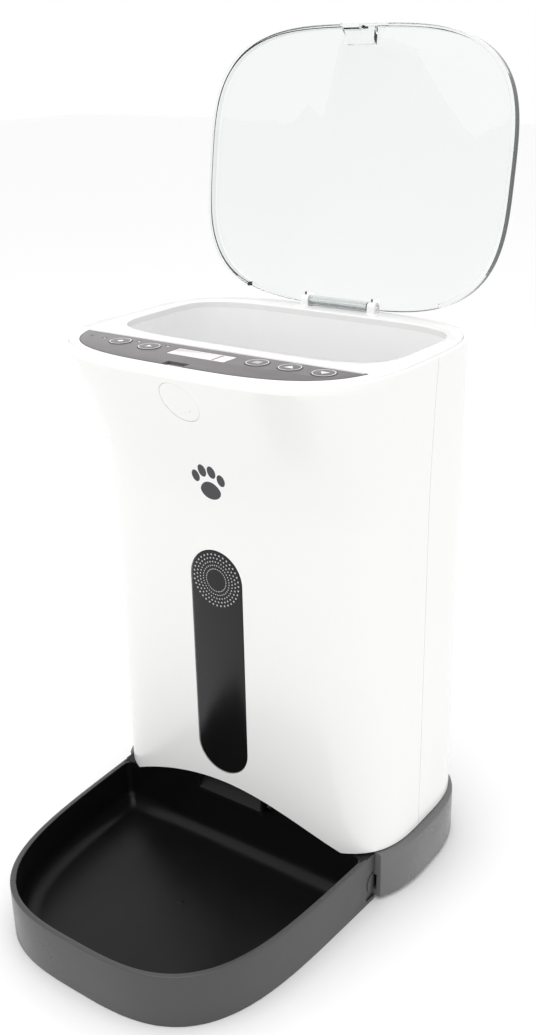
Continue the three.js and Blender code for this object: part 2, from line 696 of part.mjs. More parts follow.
// ---------------------------------------------------------------- materials
const finish = (color, roughness, metalness = 0) => (
  new THREE.MeshStandardMaterial({ color, roughness, metalness })
);
const white = finish('#f2f2f0', 0.28);
const darkGrey = finish('#5b5b5d', 0.45);
const panelGrey = finish('#979496', 0.35);
const gloss = finish('#17171a', 0.08);
const clear = new THREE.MeshStandardMaterial({
  color: '#eef2f2',
  roughness: 0.05,
  transparent: true,
  opacity: 0.35,
});
const nylon = finish('#e9e6dc', 0.5);
const black = finish('#1b1b1d', 0.6);
const rubber = finish('#222224', 0.85);
const steel = finish('#b8babd', 0.3, 1);
const brass = finish('#c9a45c', 0.3, 1);
const board = finish('#23643d', 0.5);
const cellGold = finish('#b98b3e', 0.35, 0.7);

// ---------------------------------------------------------------- assembly
const feeder = new THREE.Group();

function place(parent, name, shape, material) {
  const mesh = new THREE.Mesh(geometryOf(shape), material);
  mesh.name = name;
  parent.add(mesh);
}

function addCasing(group) {
  const shell = towerShell();
  place(group, 'base_housing', baseHousing(), darkGrey);
  place(group, 'base_plate', basePlate(), darkGrey);
  place(group, 'front_shell', frontShell(shell), white);
  place(group, 'rear_shell', rearShell(shell), white);
  place(group, 'top_frame', topFrame(), white);
  place(group, 'front_window', frontWindow(), gloss);
  FEET.forEach(([x, y], i) => place(group, `foot_${i + 1}`, drum(x, y, 8, 0, BASE.bottom + 1, 24), rubber));
  BASE_SCREWS.forEach(([x, y], i) => place(group, `base_screw_${i + 1}`, screw(x, y), steel));
}

function addControls(group) {
  place(group, 'control_panel', controlPanel(), panelGrey);
  place(group, 'lcd_window', box(-LCD.halfWidth, LCD.halfWidth, LCD.front, LCD.back, 307.1, 308.5), clear);
  place(group, 'lcd_module', box(-21, 21, LCD.front - 0.8, LCD.back + 3, 299, 304.5), black);
  KEYS.forEach(([name, x, y]) => place(group, name, key(x, y), panelGrey));
  LIGHTS.forEach(([x, y], i) => {
    place(group, `status_light_${i + 1}`, drum(x, y, 0.95, 302, 308.5, 8), clear);
  });
  place(group, 'microphone', drum(MIC.x, MIC.y, 3, 300, 304.5, 16), black);
  place(group, 'control_board', controlBoard(), board);
  place(group, 'speaker', speaker(), black);
}

function addLid(group) {
  const pivot = new THREE.Group();
  pivot.position.set(0, HINGE.y, HINGE.z);
  pivot.rotation.x = THREE.MathUtils.degToRad(-90 - HINGE.openLean);
  place(pivot, 'lid', lid(), clear);
  group.add(pivot);
  const pin = drumAlongX(HINGE.y, HINGE.z, HINGE.pinRadius, -LUG.outer, LUG.outer, 12);
  place(group, 'lid_hinge_pin', pin, steel);
  place(group, 'lid_release_button', releaseButton(towerSkin()), white);
  place(group, 'release_spring', spring(-86.2, -79.3), steel);
  place(group, 'latch_bracket', latchBracket(), black);
}

function addFeedDrive(group) {
  const gears = gearTrain();
  place(group, 'hopper', hopper(), white);
  place(group, 'rotor_housing', rotorHousing(), nylon);
  place(group, 'feed_rotor', feedRotor(), nylon);
  place(group, 'rotor_shaft', drum(ROTOR.x, ROTOR.y, 3, 66, 100.6, 16), steel);
  place(group, 'drive_gear', gears.drive, nylon);
  place(group, 'idler_gear', gears.idler, nylon);
  place(group, 'idler_axle', drum(IDLER.x, IDLER.y, 2, 66, 82.6, 16), steel);
  place(group, 'motor_pinion', gears.pinion, brass);
  const motor = joined(
    drum(PINION.x, PINION.y, MOTOR.radius, MOTOR.bottom, MOTOR.top, 28),
    drum(PINION.x, PINION.y, 1.5, MOTOR.bottom, 82, 12),
  );
  place(group, 'feed_motor', motor, steel);
  place(group, 'gear_plate', gearPlate(), black);
  place(group, 'chute', chute(), darkGrey);
  place(group, 'drop_sensor_emitter', box(-27.4, -24.1, -54, -46, 60, 68), black);
  place(group, 'drop_sensor_receiver', box(24.1, 27.4, -54, -46, 60, 68), black);
}

function addPower(group) {
  place(group, 'battery_case', batteryCase(), black);
  [-1, 0, 1].forEach((row, i) => {
    const x = row * CELL.pitch;
    place(group, `battery_${i + 1}`, cell(x), cellGold);
    const coil = turned([[2, 0], [8, 0], [8, 0.8], [4, 2.6], [2, 2.6], [2, 0]], 0, 0, 16)
      .rotate([90, 0, 0]).translate([x, CASE.back - GAP, CELL.z]);
    place(group, `battery_spring_${i + 1}`, coil, steel);
  });
  place(group, 'battery_contact', box(-50, 50, CASE.front + GAP, CASE.front + 1, 18, 31), brass);
  place(group, 'battery_door', box(-DOOR.halfX, DOOR.halfX, DOOR.front, DOOR.back, 2.3, 3.9), darkGrey);
  place(group, 'dc_jack', jack(), black);
  place(group, 'power_board', box(-40, 40, 49, 50.6, 62, 100), board);
}

function addTray(group) {
  place(group, 'feeding_tray', feedingTray(), darkGrey);
  place(group, 'tray_latch_right', trayLatch(1), darkGrey);
  place(group, 'tray_latch_left', trayLatch(-1), darkGrey);
}

[addCasing, addControls, addLid, addFeedDrive, addPower, addTray].forEach((add) => add(feeder));

// The origin is on the ground, under the middle of the whole feeder.
feeder.updateMatrixWorld(true);
const bounds = new THREE.Box3().setFromObject(feeder, true);
feeder.position.set(0, -(bounds.min.y + bounds.max.y) / 2, -bounds.min.z);

export default feeder;
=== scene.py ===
"""Automatic pet feeder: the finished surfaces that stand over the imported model.

Sizes are millimetres in the feeder's drawing frame: +Z up from the ground, the front towards -Y, and the
middle of the tower near y = -9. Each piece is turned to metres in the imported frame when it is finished.
"""

from __future__ import annotations

import json
import logging
import math
import sys
from collections.abc import Callable, Iterable, Sequence
from dataclasses import dataclass, replace
from enum import Enum

import bmesh
import bpy
from mathutils import Matrix, Vector

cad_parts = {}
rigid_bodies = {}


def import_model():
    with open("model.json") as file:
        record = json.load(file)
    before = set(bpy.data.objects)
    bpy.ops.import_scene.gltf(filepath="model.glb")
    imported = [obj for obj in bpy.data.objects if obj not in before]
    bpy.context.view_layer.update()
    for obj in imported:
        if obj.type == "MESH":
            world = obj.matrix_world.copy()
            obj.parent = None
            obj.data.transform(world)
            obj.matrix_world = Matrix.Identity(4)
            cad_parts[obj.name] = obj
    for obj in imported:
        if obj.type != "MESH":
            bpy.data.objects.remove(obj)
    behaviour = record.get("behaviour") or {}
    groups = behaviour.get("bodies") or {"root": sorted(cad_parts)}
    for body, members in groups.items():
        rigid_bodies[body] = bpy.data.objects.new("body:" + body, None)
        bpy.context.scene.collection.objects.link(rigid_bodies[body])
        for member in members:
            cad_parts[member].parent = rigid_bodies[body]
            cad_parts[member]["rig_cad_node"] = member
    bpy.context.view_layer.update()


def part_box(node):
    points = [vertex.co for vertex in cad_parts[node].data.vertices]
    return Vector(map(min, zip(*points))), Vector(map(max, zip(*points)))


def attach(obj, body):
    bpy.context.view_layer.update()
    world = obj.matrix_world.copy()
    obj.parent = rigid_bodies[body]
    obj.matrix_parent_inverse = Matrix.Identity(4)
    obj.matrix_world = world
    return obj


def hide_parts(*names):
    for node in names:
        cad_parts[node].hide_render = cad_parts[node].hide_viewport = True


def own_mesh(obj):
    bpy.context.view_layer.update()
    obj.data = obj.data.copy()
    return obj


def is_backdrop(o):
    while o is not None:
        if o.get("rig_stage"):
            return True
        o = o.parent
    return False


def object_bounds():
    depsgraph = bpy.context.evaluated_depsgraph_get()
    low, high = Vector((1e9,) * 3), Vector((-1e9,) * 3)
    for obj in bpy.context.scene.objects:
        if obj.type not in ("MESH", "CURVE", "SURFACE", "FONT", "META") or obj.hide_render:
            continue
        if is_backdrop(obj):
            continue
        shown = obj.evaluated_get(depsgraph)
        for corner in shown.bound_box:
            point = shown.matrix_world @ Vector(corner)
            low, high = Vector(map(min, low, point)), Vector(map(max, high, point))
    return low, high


Point2 = tuple[float, float]
Point3 = tuple[float, float, float]
Ring = list[Point3]

MM = 0.001
TOWER_FRONT = -72.0
log = logging.getLogger("pet_feeder")


# ---------------------------------------------------------------- drawing
@dataclass(frozen=True)
class Plan:
    """A rounded box in plan: a superellipse between a front and a back, in millimetres."""

    half_width: float
    front: float
    back: float
    power: float
    back_power: float = 0.0

    @property
    def middle(self) -> float:
        """The y of the widest line."""
        return (self.front + self.back) / 2

    @property
    def half_depth(self) -> float:
        """Half the distance from front to back."""
        return (self.back - self.front) / 2

    def inset(self, by: float) -> Plan:
        """The same outline with every side moved inwards.

        Args:
            by: the distance; a negative one grows the outline.

        Returns:
            The smaller outline.
        """
        return replace(self, half_width=self.half_width - by, front=self.front + by, back=self.back - by)

    def at(self, angle: float) -> Point2:
        """The point at an angle, counted from +X towards +Y.

        Args:
            angle: radians.

        Returns:
            The point's x and y.
        """
        c, s = math.cos(angle), math.sin(angle)
        power = self.back_power if s > 0 and self.back_power else self.power
        x = self.half_width * math.copysign(abs(c) ** (2 / power), c)
        y = self.middle + self.half_depth * math.copysign(abs(s) ** (2 / power), s)
        return x, y

    def points(self, count: int = 240) -> list[Point2]:
        """The whole outline.

        Args:
            count: how many points it has.

        Returns:
            The points, anticlockwise from +X.
        """
        return [self.at(2 * math.pi * (i + 0.5) / count) for i in range(count)]

    def arc(self, cut_y: float, front: bool, count: int) -> list[Point2]:
        """The part of the outline in front of, or behind, a line across it.

        Args:
            cut_y: the line's y.
            front: True for the part in front.
            count: how many points it has.

        Returns:
            The points, anticlockwise, with the first and last on the line.
        """
        share = (cut_y - self.middle) / self.half_depth
        power = self.back_power if share > 0 and self.back_power else self.power
        lift = math.asin(math.copysign(abs(share) ** (power / 2), share))
        start, end = (math.pi - lift, 2 * math.pi + lift) if front else (lift, math.pi - lift)
        return [self.at(start + (end - start) * i / (count - 1)) for i in range(count)]

    def front_at(self, x: float) -> float:
        """The y of the front side at a distance from the middle plane.

        Args:
            x: the distance, less than half the width.

        Returns:
            The y there.
        """
        share = min(abs(x) / self.half_width, 1.0)
        return self.middle - self.half_depth * (1 - share**self.power) ** (1 / self.power)


def stadium(radius: float, low: float, high: float, steps: int = 40) -> list[Point2]:
    """A vertical slot with round ends, in x and z.

    Args:
        radius: half the slot's width.
        low: height of the lower centre.
        high: height of the upper centre.
        steps: points on each round end.

    Returns:
        The outline, anticlockwise.
    """
    top = [(radius * math.cos(math.pi * i / steps), high + radius * math.sin(math.pi * i / steps))
           for i in range(steps + 1)]
    return top + [(-x, low + high - z) for x, z in top]


def circle(radius: float, count: int = 48, centre: Point2 = (0.0, 0.0), start: float = 0.0) -> list[Point2]:
    """A circle as points, anticlockwise.

    Args:
        radius: its radius.
        count: how many points it has.
        centre: its middle.
        start: the first point's angle in radians.

    Returns:
        The outline.
    """
    angles = [start + 2 * math.pi * i / count for i in range(count)]
    return [(centre[0] + radius * math.cos(a), centre[1] + radius * math.sin(a)) for a in angles]


def lerp(start: float, end: float, share: float) -> float:
    """The value a share of the way from start to end."""
    return start + (end - start) * share


def level(outline: Iterable[Point2], z: float) -> Ring:
    """A flat outline at a height."""
    return [(x, y, z) for x, y in outline]


def shown(name: str, data: bpy.types.ID) -> bpy.types.Object:
    """A new object of some data, put in the scene."""
    made = bpy.data.objects.new(name, data)
    bpy.context.scene.collection.objects.link(made)
    return made


# ---------------------------------------------------------------- bench
class Join(Enum):
    """What a cutting tool does to the piece under it."""

    ADD = "UNION"
    CUT = "DIFFERENCE"
    KEEP = "INTERSECT"


class Axis(Enum):
    """The direction that a drawn outline is pulled along."""

    X = "x"
    Y = "y"
    Z = "z"


class Bench:
    """Makes closed meshes in millimetres, cuts and joins them, and finishes them as pieces in metres."""

    def __init__(self) -> None:
        """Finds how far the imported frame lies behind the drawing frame."""
        self.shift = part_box("front_window")[0].y / MM - TOWER_FRONT

    def blank(
        self, name: str, points: Iterable[Sequence[float]], faces: Iterable[Sequence[int]]
    ) -> bpy.types.Object:
        """An object from points and faces, with its faces turned outwards.

        Args:
            name: the object's name.
            points: the corners in millimetres.
            faces: the corners' numbers, face by face.

        Returns:
            The object.
        """
        mesh = bpy.data.meshes.new(name)
        mesh.from_pydata([tuple(p) for p in points], [], [tuple(f) for f in faces])
        work = bmesh.new()
        work.from_mesh(mesh)
        bmesh.ops.remove_doubles(work, verts=work.verts, dist=1e-4)
        bmesh.ops.recalc_face_normals(work, faces=work.faces)
        work.to_mesh(mesh)
        work.free()
        return shown(name, mesh)

    def loft(self, name: str, rings: Sequence[Ring], tube: bool = False) -> bpy.types.Object:
        """A closed skin over rings of equal length.

        Args:
            name: the object's name.
            rings: the rings in order.
            tube: True joins the last ring to the first, False caps both ends.

        Returns:
            The object.
        """
        count, last = len(rings[0]), len(rings) - 1
        faces: list[list[int]] = []
        for level in range(last + (1 if tube else 0)):
            low, high = level * count, ((level + 1) % len(rings)) * count
            for i in range(count):
                j = (i + 1) % count
                faces.append([low + i, low + j, high + j, high + i])
        if not tube:
            faces.append(list(range(count))[::-1])
            faces.append([last * count + i for i in range(count)])
        return self.blank(name, [p for ring in rings for p in ring], faces)

    def pull(
        self, name: str, outline: Sequence[Point2], axis: Axis, low: float, high: float
    ) -> bpy.types.Object:
        """A flat outline pulled along an axis: x and y along Z, x and z along Y, or y and z along X.

        Args:
            name: the object's name.
            outline: the points.
            axis: the direction.
            low: where it starts.
            high: where it ends.

        Returns:
            The object.
        """
        def placed(point: Point2, depth: float) -> Point3:
            """The outline's point at a depth along the axis."""
            a, b = point
            return {Axis.X: (depth, a, b), Axis.Y: (a, depth, b), Axis.Z: (a, b, depth)}[axis]

        return self.loft(name, [[placed(p, low) for p in outline], [placed(p, high) for p in outline]])

    def box(self, x: Point2, y: Point2, z: Point2) -> bpy.types.Object:
        """A block between three pairs of limits.

        Args:
            x: its limits along X.
            y: its limits along Y.
            z: its limits along Z.

        Returns:
            The object.
        """
        return self.pull("block", [(x[0], y[0]), (x[1], y[0]), (x[1], y[1]), (x[0], y[1])], Axis.Z, *z)

    def turn(
        self, name: str, profile: Sequence[Point2], axis: Axis, centre: Point2, count: int = 64
    ) -> bpy.types.Object:
        """A turned piece. The profile gives radius and distance along the axis, and closes on the axis.

        Args:
            name: the object's name.
            profile: radius and distance pairs.
            axis: the axis that it turns about.
            centre: where the axis stands, in the two other directions in order.
            count: sides of the turning.

        Returns:
            The object.
        """
        def placed(a: float, b: float, depth: float) -> Point3:
            """A point at two distances across the axis and one along it."""
            u, v = centre[0] + a, centre[1] + b
            return {Axis.X: (depth, u, v), Axis.Y: (u, depth, v), Axis.Z: (u, v, depth)}[axis]

        rings = []
        for radius, depth in profile:
            rings.append([placed(a, b, depth) for a, b in circle(max(radius, 1e-3), count)])
        return self.loft(name, rings)

    def work(self, piece: bpy.types.Object, join: Join, *tools: bpy.types.Object) -> bpy.types.Object:
        """Adds, cuts or keeps with tools, which are used up.

        Args:
            piece: what is worked on.
            join: what the tools do.
            tools: closed meshes.

        Returns:
            The same object with its new mesh.
        """
        for tool in tools:
            step = piece.modifiers.new("tool", "BOOLEAN")
            step.object, step.operation, step.solver = tool, join.value, "MANIFOLD"
            self.settle(piece)
            self.scrap(tool)
        return piece

    def settle(self, piece: bpy.types.Object) -> bpy.types.Object:
        """Replaces a piece's mesh by what its modifiers make of it.

        Args:
            piece: the object.

        Returns:
            The same object, without modifiers.
        """
        bpy.context.view_layer.update()
        graph = bpy.context.evaluated_depsgraph_get()
        made = bpy.data.meshes.new_from_object(piece.evaluated_get(graph), depsgraph=graph)
        piece.modifiers.clear()
        old, piece.data = piece.data, made
        made.name = piece.name
        bpy.data.meshes.remove(old)
        return piece

    def scrap(self, piece: bpy.types.Object) -> None:
        """Removes an object and its mesh."""
        mesh = piece.data
        bpy.data.objects.remove(piece)
        bpy.data.meshes.remove(mesh)

    def soften(
        self, piece: bpy.types.Object, width: float, angle: float = 35, segments: int = 2
    ) -> bpy.types.Object:
        """Rounds the sharp edges, as a mould does.

        Args:
            piece: the object, in millimetres.
            width: the rounding's width.
            angle: edges sharper than this many degrees are rounded.
            segments: steps in the rounding.

        Returns:
            The same object.
        """
        step = piece.modifiers.new("rounding", "BEVEL")
        step.width, step.segments = width, segments
        step.limit_method, step.angle_limit = "ANGLE", math.radians(angle)
        return self.settle(piece)

    def move(self, piece: bpy.types.Object, matrix: Matrix) -> bpy.types.Object:
        """Moves a piece's points, leaving the object itself at the origin."""
        piece.data.transform(matrix)
        return piece

    def copy_of(self, node: str) -> bpy.types.Object:
        """A CAD node's shape in millimetres of the drawing frame, merged, to be worked on.

        Args:
            node: the node's name.

        Returns:
            The new object.
        """
        mesh = bpy.data.objects[node].data.copy() if node in bpy.data.objects else self.node_mesh(node).copy()
        mesh.materials.clear()
        mesh.transform(Matrix.Translation((0, -self.shift, 0)) @ Matrix.Scale(1 / MM, 4))
        work = bmesh.new()
        work.from_mesh(mesh)
        bmesh.ops.remove_doubles(work, verts=work.verts, dist=0.004)
        bmesh.ops.dissolve_limit(work, angle_limit=math.radians(1), verts=work.verts, edges=work.edges)
        work.to_mesh(mesh)
        work.free()
        return shown(f"{node}_copy", mesh)

    def node_mesh(self, node: str) -> bpy.types.Mesh:
        """The mesh of a CAD node's object, found by the node's name."""
        return next(o for o in bpy.context.scene.objects if o.get("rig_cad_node") == node).data

    def dress(
        self,
        piece: bpy.types.Object,
        plain: bpy.types.Material,
        other: bpy.types.Material,
        chosen: Callable[[bpy.types.MeshPolygon], bool],
    ) -> None:
        """Gives a piece two materials.

        Args:
            piece: the blank.
            plain: the material of most faces.
            other: the material of the chosen faces.
            chosen: whether a face is one of them.
        """
        mesh = piece.data
        mesh.materials.clear()
        mesh.materials.append(plain)
        mesh.materials.append(other)
        for face in mesh.polygons:
            face.material_index = 1 if chosen(face) else 0

    def finish(
        self,
        piece: bpy.types.Object,
        name: str,
        body: str,
        material: bpy.types.Material | None,
        replaces: Sequence[str] = (),
        slot: str = "",
        smooth: float = 30,
    ) -> bpy.types.Object:
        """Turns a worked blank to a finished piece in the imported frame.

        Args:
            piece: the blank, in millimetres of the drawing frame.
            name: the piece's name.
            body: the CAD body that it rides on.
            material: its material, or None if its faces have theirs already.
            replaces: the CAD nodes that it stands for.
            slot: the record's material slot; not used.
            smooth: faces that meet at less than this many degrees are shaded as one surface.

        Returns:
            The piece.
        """
        mesh = piece.data
        mesh.transform(Matrix.Scale(MM, 4) @ Matrix.Translation((0, self.shift, 0)))
        mesh.shade_smooth()
        mesh.set_sharp_from_angle(angle=math.radians(smooth))
        if material is not None:
            mesh.materials.clear()
            mesh.materials.append(material)
        piece.name = mesh.name = name
        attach(piece, body)
        if replaces:
            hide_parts(*replaces)
        log.info("%s: %d faces, rides on %s", name, len(mesh.polygons), body)
        return piece

    def refined(
        self, source: str, name: str, body: str, finish: Surface, slot: str, width: float
    ) -> None:
        """Makes a piece of a CAD node's shape with its edges rounded.

        Args:
            source: the CAD node.
            name: the new piece's name.
            body: the body that it rides on.
            finish: its finish.
            slot: the record's material slot.
            width: the rounding's width.
        """
        piece = self.copy_of(source)
        self.soften(piece, width)
        self.finish(piece, name, body, finish.material(), [source], slot)


# ---------------------------------------------------------------- finishes
def linear(colour: str) -> tuple[float, float, float, float]:
    """An sRGB hex colour as linear light.

    Args:
        colour: six hex digits after a hash.

    Returns:
        Red, green, blue and full alpha.
    """
    parts = [int(colour[i:i + 2], 16) / 255 for i in (1, 3, 5)]
    red, green, blue = (p / 12.92 if p <= 0.04045 else ((p + 0.055) / 1.055) ** 2.4 for p in parts)
    return red, green, blue, 1.0


def node(
    tree: bpy.types.NodeTree,
    kind: str,
    settings: dict[str, object] | None = None,
    values: dict[str | int, object] | None = None,
    links: dict[str | int, bpy.types.NodeSocket] | None = None,
) -> bpy.types.Node:
    """Adds a node with its settings, values and incoming links.

    Args:
        tree: the tree that it joins.
        kind: the node's type name.
        settings: properties to set on it.
        values: defaults for its inputs, by name or number.
        links: output sockets for its inputs, by name or number.

    Returns:
        The node.
    """
    made = tree.nodes.new(kind)
    for key, value in (settings or {}).items():
        setattr(made, key, value)
    for key, value in (values or {}).items():
        made.inputs[key].default_value = value
    for key, socket in (links or {}).items():
        tree.links.new(socket, made.inputs[key])
    return made


def maths(
    tree: bpy.types.NodeTree, operation: str, *terms: float | bpy.types.NodeSocket
) -> bpy.types.NodeSocket:
    """Adds a maths node.

    Args:
        tree: the tree that it joins.
        operation: what it does.
        terms: its inputs in order, each a number or an output socket.

    Returns:
        Its result.
    """
    links = {i: term for i, term in enumerate(terms) if isinstance(term, bpy.types.NodeSocket)}
    values = {i: term for i, term in enumerate(terms) if i not in links}
    return node(tree, "ShaderNodeMath", {"operation": operation}, values, links).outputs[0]


class Surface:
    """What every finish shares: a name, and a material that is made once from the nodes that it draws."""

    name: str

    def draw(self, tree: bpy.types.NodeTree) -> bpy.types.Node:
        """Adds the finish's nodes to an empty tree and gives back the shader."""
        raise NotImplementedError

    def material(self) -> bpy.types.Material:
        """The finish as a material."""
        if self.name in bpy.data.materials:
            return bpy.data.materials[self.name]
        made = bpy.data.materials.new(self.name)
        made.use_nodes = True
        tree = made.node_tree
        tree.nodes.clear()
        node(tree, "ShaderNodeOutputMaterial", links={"Surface": self.draw(tree).outputs[0]})
        return made


@dataclass(frozen=True)
class Finish(Surface):
    """A moulded, cast or drawn surface: its colour, gloss, and the small pattern that its making leaves."""

    name: str
    colour: str
    roughness: float
    grain: float
    relief: float
    ior: float = 1.5
    metallic: float = 0.0
    shade: float = 0.06
    gloss_change: float = 0.06
    coat: float = 0.0
    stretch: Point3 = (1.0, 1.0, 1.0)

    def draw(self, tree: bpy.types.NodeTree) -> bpy.types.Node:
        """Adds the finish's nodes and gives back the shader."""
        shader = node(tree, "ShaderNodeBsdfPrincipled", values={
            "Metallic": self.metallic,
            "IOR": self.ior,
            "Coat Weight": self.coat,
            "Coat Roughness": 0.03,
        })
        place = node(tree, "ShaderNodeTexCoord")
        spread = node(tree, "ShaderNodeMapping", values={"Scale": self.stretch}, links={
            "Vector": place.outputs["Object"],
        })
        grain = node(tree, "ShaderNodeTexNoise", values={
            "Scale": 1 / (self.grain * MM), "Detail": 3.0, "Roughness": 0.55,
        }, links={"Vector": spread.outputs[0]})
        cloud = node(tree, "ShaderNodeTexNoise", values={
            "Scale": 1 / (60 * MM), "Detail": 4.0, "Roughness": 0.6,
        }, links={"Vector": spread.outputs[0]})
        red, green, blue, alpha = linear(self.colour)
        darker = tuple(c * (1 - self.shade) for c in (red, green, blue)) + (alpha,)
        both = maths(tree, "MULTIPLY_ADD", grain.outputs["Fac"], 0.5, cloud.outputs["Fac"])
        tint = node(tree, "ShaderNodeMix", {"data_type": "RGBA"}, {
            6: darker, 7: (red, green, blue, alpha),
        }, {0: both})
        sheen = node(tree, "ShaderNodeMapRange", values={
            "From Min": 0.35, "From Max": 0.65,
            "To Min": max(self.roughness - self.gloss_change, 0.02),
            "To Max": self.roughness + self.gloss_change,
        }, links={"Value": cloud.outputs["Fac"]})
        bump = node(tree, "ShaderNodeBump", values={"Strength": 1.0, "Distance": self.relief * MM}, links={
            "Height": grain.outputs["Fac"],
        })
        tree.links.new(tint.outputs[2], shader.inputs["Base Color"])
        tree.links.new(sheen.outputs[0], shader.inputs["Roughness"])
        tree.links.new(bump.outputs[0], shader.inputs["Normal"])
        return shader


@dataclass(frozen=True)
class ClearFinish(Surface):
    """A clear moulded plastic, tinted a little towards its edges, with faint swirls of flow."""

    name: str
    colour: str
    edge_colour: str
    edge: float
    roughness: float = 0.02
    ior: float = 1.49

    def draw(self, tree: bpy.types.NodeTree) -> bpy.types.Node:
        """Adds the finish's nodes and gives back the shader."""
        shader = node(tree, "ShaderNodeBsdfPrincipled", values={"IOR": self.ior, "Transmission Weight": 1.0})
        place = node(tree, "ShaderNodeTexCoord")
        flow = node(tree, "ShaderNodeTexNoise", values={
            "Scale": 1 / (25 * MM), "Detail": 2.0, "Roughness": 0.4, "Distortion": 0.6,
        }, links={"Vector": place.outputs["Object"]})
        facing = node(tree, "ShaderNodeLayerWeight", values={"Blend": self.edge})
        tint = node(tree, "ShaderNodeMix", {"data_type": "RGBA"}, {
            6: linear(self.colour), 7: linear(self.edge_colour),
        }, {0: facing.outputs["Facing"]})
        gloss = node(tree, "ShaderNodeMapRange", values={
            "To Min": self.roughness * 0.5, "To Max": self.roughness * 1.5,
        }, links={"Value": flow.outputs["Fac"]})
        bump = node(tree, "ShaderNodeBump", values={"Strength": 1.0, "Distance": 0.01 * MM}, links={
            "Height": flow.outputs["Fac"],
        })
        tree.links.new(tint.outputs[2], shader.inputs["Base Color"])
        tree.links.new(gloss.outputs[0], shader.inputs["Roughness"])
        tree.links.new(bump.outputs[0], shader.inputs["Normal"])
        return shader


@dataclass(frozen=True)
class BoardFinish(Surface):
    """Green solder resist over copper tracks, as on a printed circuit board."""

    name: str = "printed circuit board, green solder resist"

    def draw(self, tree: bpy.types.NodeTree) -> bpy.types.Node:
        """Adds the finish's nodes and gives back the shader."""
        place = node(tree, "ShaderNodeTexCoord")
        tracks = node(tree, "ShaderNodeTexBrick", {"offset": 0.37, "squash": 1.6}, {
            "Scale": 1 / (6 * MM), "Mortar Size": 0.06, "Mortar Smooth": 0.1,
            "Color1": linear("#1c5c38"), "Color2": linear("#226a41"), "Mortar": linear("#3f8a55"),
        }, {"Vector": place.outputs["Object"]})
        bump = node(tree, "ShaderNodeBump", values={"Strength": 1.0, "Distance": 0.05 * MM}, links={
            "Height": tracks.outputs["Fac"],
        })
        shader = node(tree, "ShaderNodeBsdfPrincipled", values={"Roughness": 0.35}, links={
            "Base Color": tracks.outputs["Color"], "Normal": bump.outputs[0],
        })
        return shader


# Gloss ABS from a polished mould: a hard white shine with the faintest orange peel.
WHITE_ABS = Finish("gloss white moulded ABS", "#f3f3f2", 0.2, 4.0, 0.004, shade=0.015, gloss_change=0.03)
# The same plastic on inner walls, which a duller mould leaves a little rougher; its colour is raised to pure
# white as painted light that lifts the shade inside the hopper.
WHITE_INNER_PAINTED_LIGHT = Finish("white moulded ABS, inner walls", "#ffffff", 0.32, 1.6, 0.01, shade=0.02)
# Grey ABS from a spark-eroded mould: fine grain that breaks the shine into a satin.
GREY_ABS = Finish("satin dark grey moulded ABS", "#676767", 0.27, 0.9, 0.02, ior=1.54, shade=0.1)
# The tray's plastic is darker, and its inside is a fine matt grain that food slides over; the inside and the
# food chute are painted near black as painted shade.
TRAY_ABS = Finish("satin charcoal moulded ABS", "#3f3f3f", 0.3, 0.9, 0.02, ior=1.54, shade=0.1)
TRAY_PAINTED_SHADE = Finish("matt black moulded ABS, bowl lining", "#101010", 0.34, 1.1, 0.03, ior=1.3, shade=0.12)
# A polycarbonate film printed warm grey on its back, so the colour lies under a silky face.
PANEL_FILM = Finish("warm grey printed polycarbonate film", "#6d696b", 0.34, 1.2, 0.006, ior=1.5, shade=0.05)
# The thin line along the film's straight edge, in a paler ink of its own.
PANEL_EDGE = Finish("pale silver printed border", "#cfccce", 0.35, 1.2, 0.004, ior=1.58, shade=0.04)
# Polished acrylic, black all the way through, as deep as glass.
BLACK_ACRYLIC = Finish("polished black acrylic", "#121213", 0.24, 6.0, 0.002,
                       ior=1.4, shade=0.1, gloss_change=0.02)
# Screen ink, a thin flat layer with slightly uneven cover.
WHITE_INK = Finish("white screen-printed ink", "#f4f4f4", 0.55, 0.6, 0.01, shade=0.05)
# Pad ink, dabbed on by a soft stamp, so it is a little denser and duller than screen ink.
GREY_INK = Finish("charcoal pad-printed ink", "#38383c", 0.5, 0.6, 0.01, shade=0.08)
# The grille's dots, in a silvery ink that catches the light.
GRILLE_INK = Finish("pale silver grille dots", "#b9b9bd", 0.4, 0.5, 0.01, shade=0.06)
# The display is off: its reflector shows through the lens as a pale, faintly pink grey.
LCD_GLASS = Finish("unlit reflective LCD under its lens", "#eee6e8", 0.12, 0.7, 0.003, ior=1.52, shade=0.03)
# Glass-filled or plain nylon for what turns: waxy, a little yellow, dull.
NYLON = Finish("natural moulded nylon", "#e6e2d6", 0.48, 1.4, 0.012, ior=1.53, shade=0.05)
# Filled polypropylene for brackets and cases, with the bloom of a plain tool.
BLACK_PLASTIC = Finish("black moulded polypropylene", "#1c1c1e", 0.5, 1.0, 0.02, shade=0.12)
# Moulded rubber: no shine at all, and a fine dust of its own.
RUBBER = Finish("black moulded rubber", "#202022", 0.8, 0.8, 0.03, ior=1.52, shade=0.15)
# Zinc plate over steel: a soft metal shine with brushed streaks.
STEEL = Finish("zinc-plated steel", "#b9bbbe", 0.3, 1.0, 0.004, metallic=1.0, shade=0.1, stretch=(1, 1, 6))
# Nickel plate, brighter and smoother than zinc, on the hinge pin inside the clear barrel.
NICKEL = Finish("bright nickel-plated steel", "#eef2f0", 0.3, 1.0, 0.004, metallic=1.0, shade=0.05)
# Brass turned on a lathe or stamped from strip.
BRASS = Finish("turned brass", "#c9a35a", 0.28, 1.0, 0.004, metallic=1.0, shade=0.1, stretch=(1, 1, 6))
# Hard-drawn wire, greyer than plate.
SPRING_STEEL = Finish("drawn spring steel wire", "#8f9296", 0.3, 0.5, 0.002, metallic=1.0, shade=0.1)
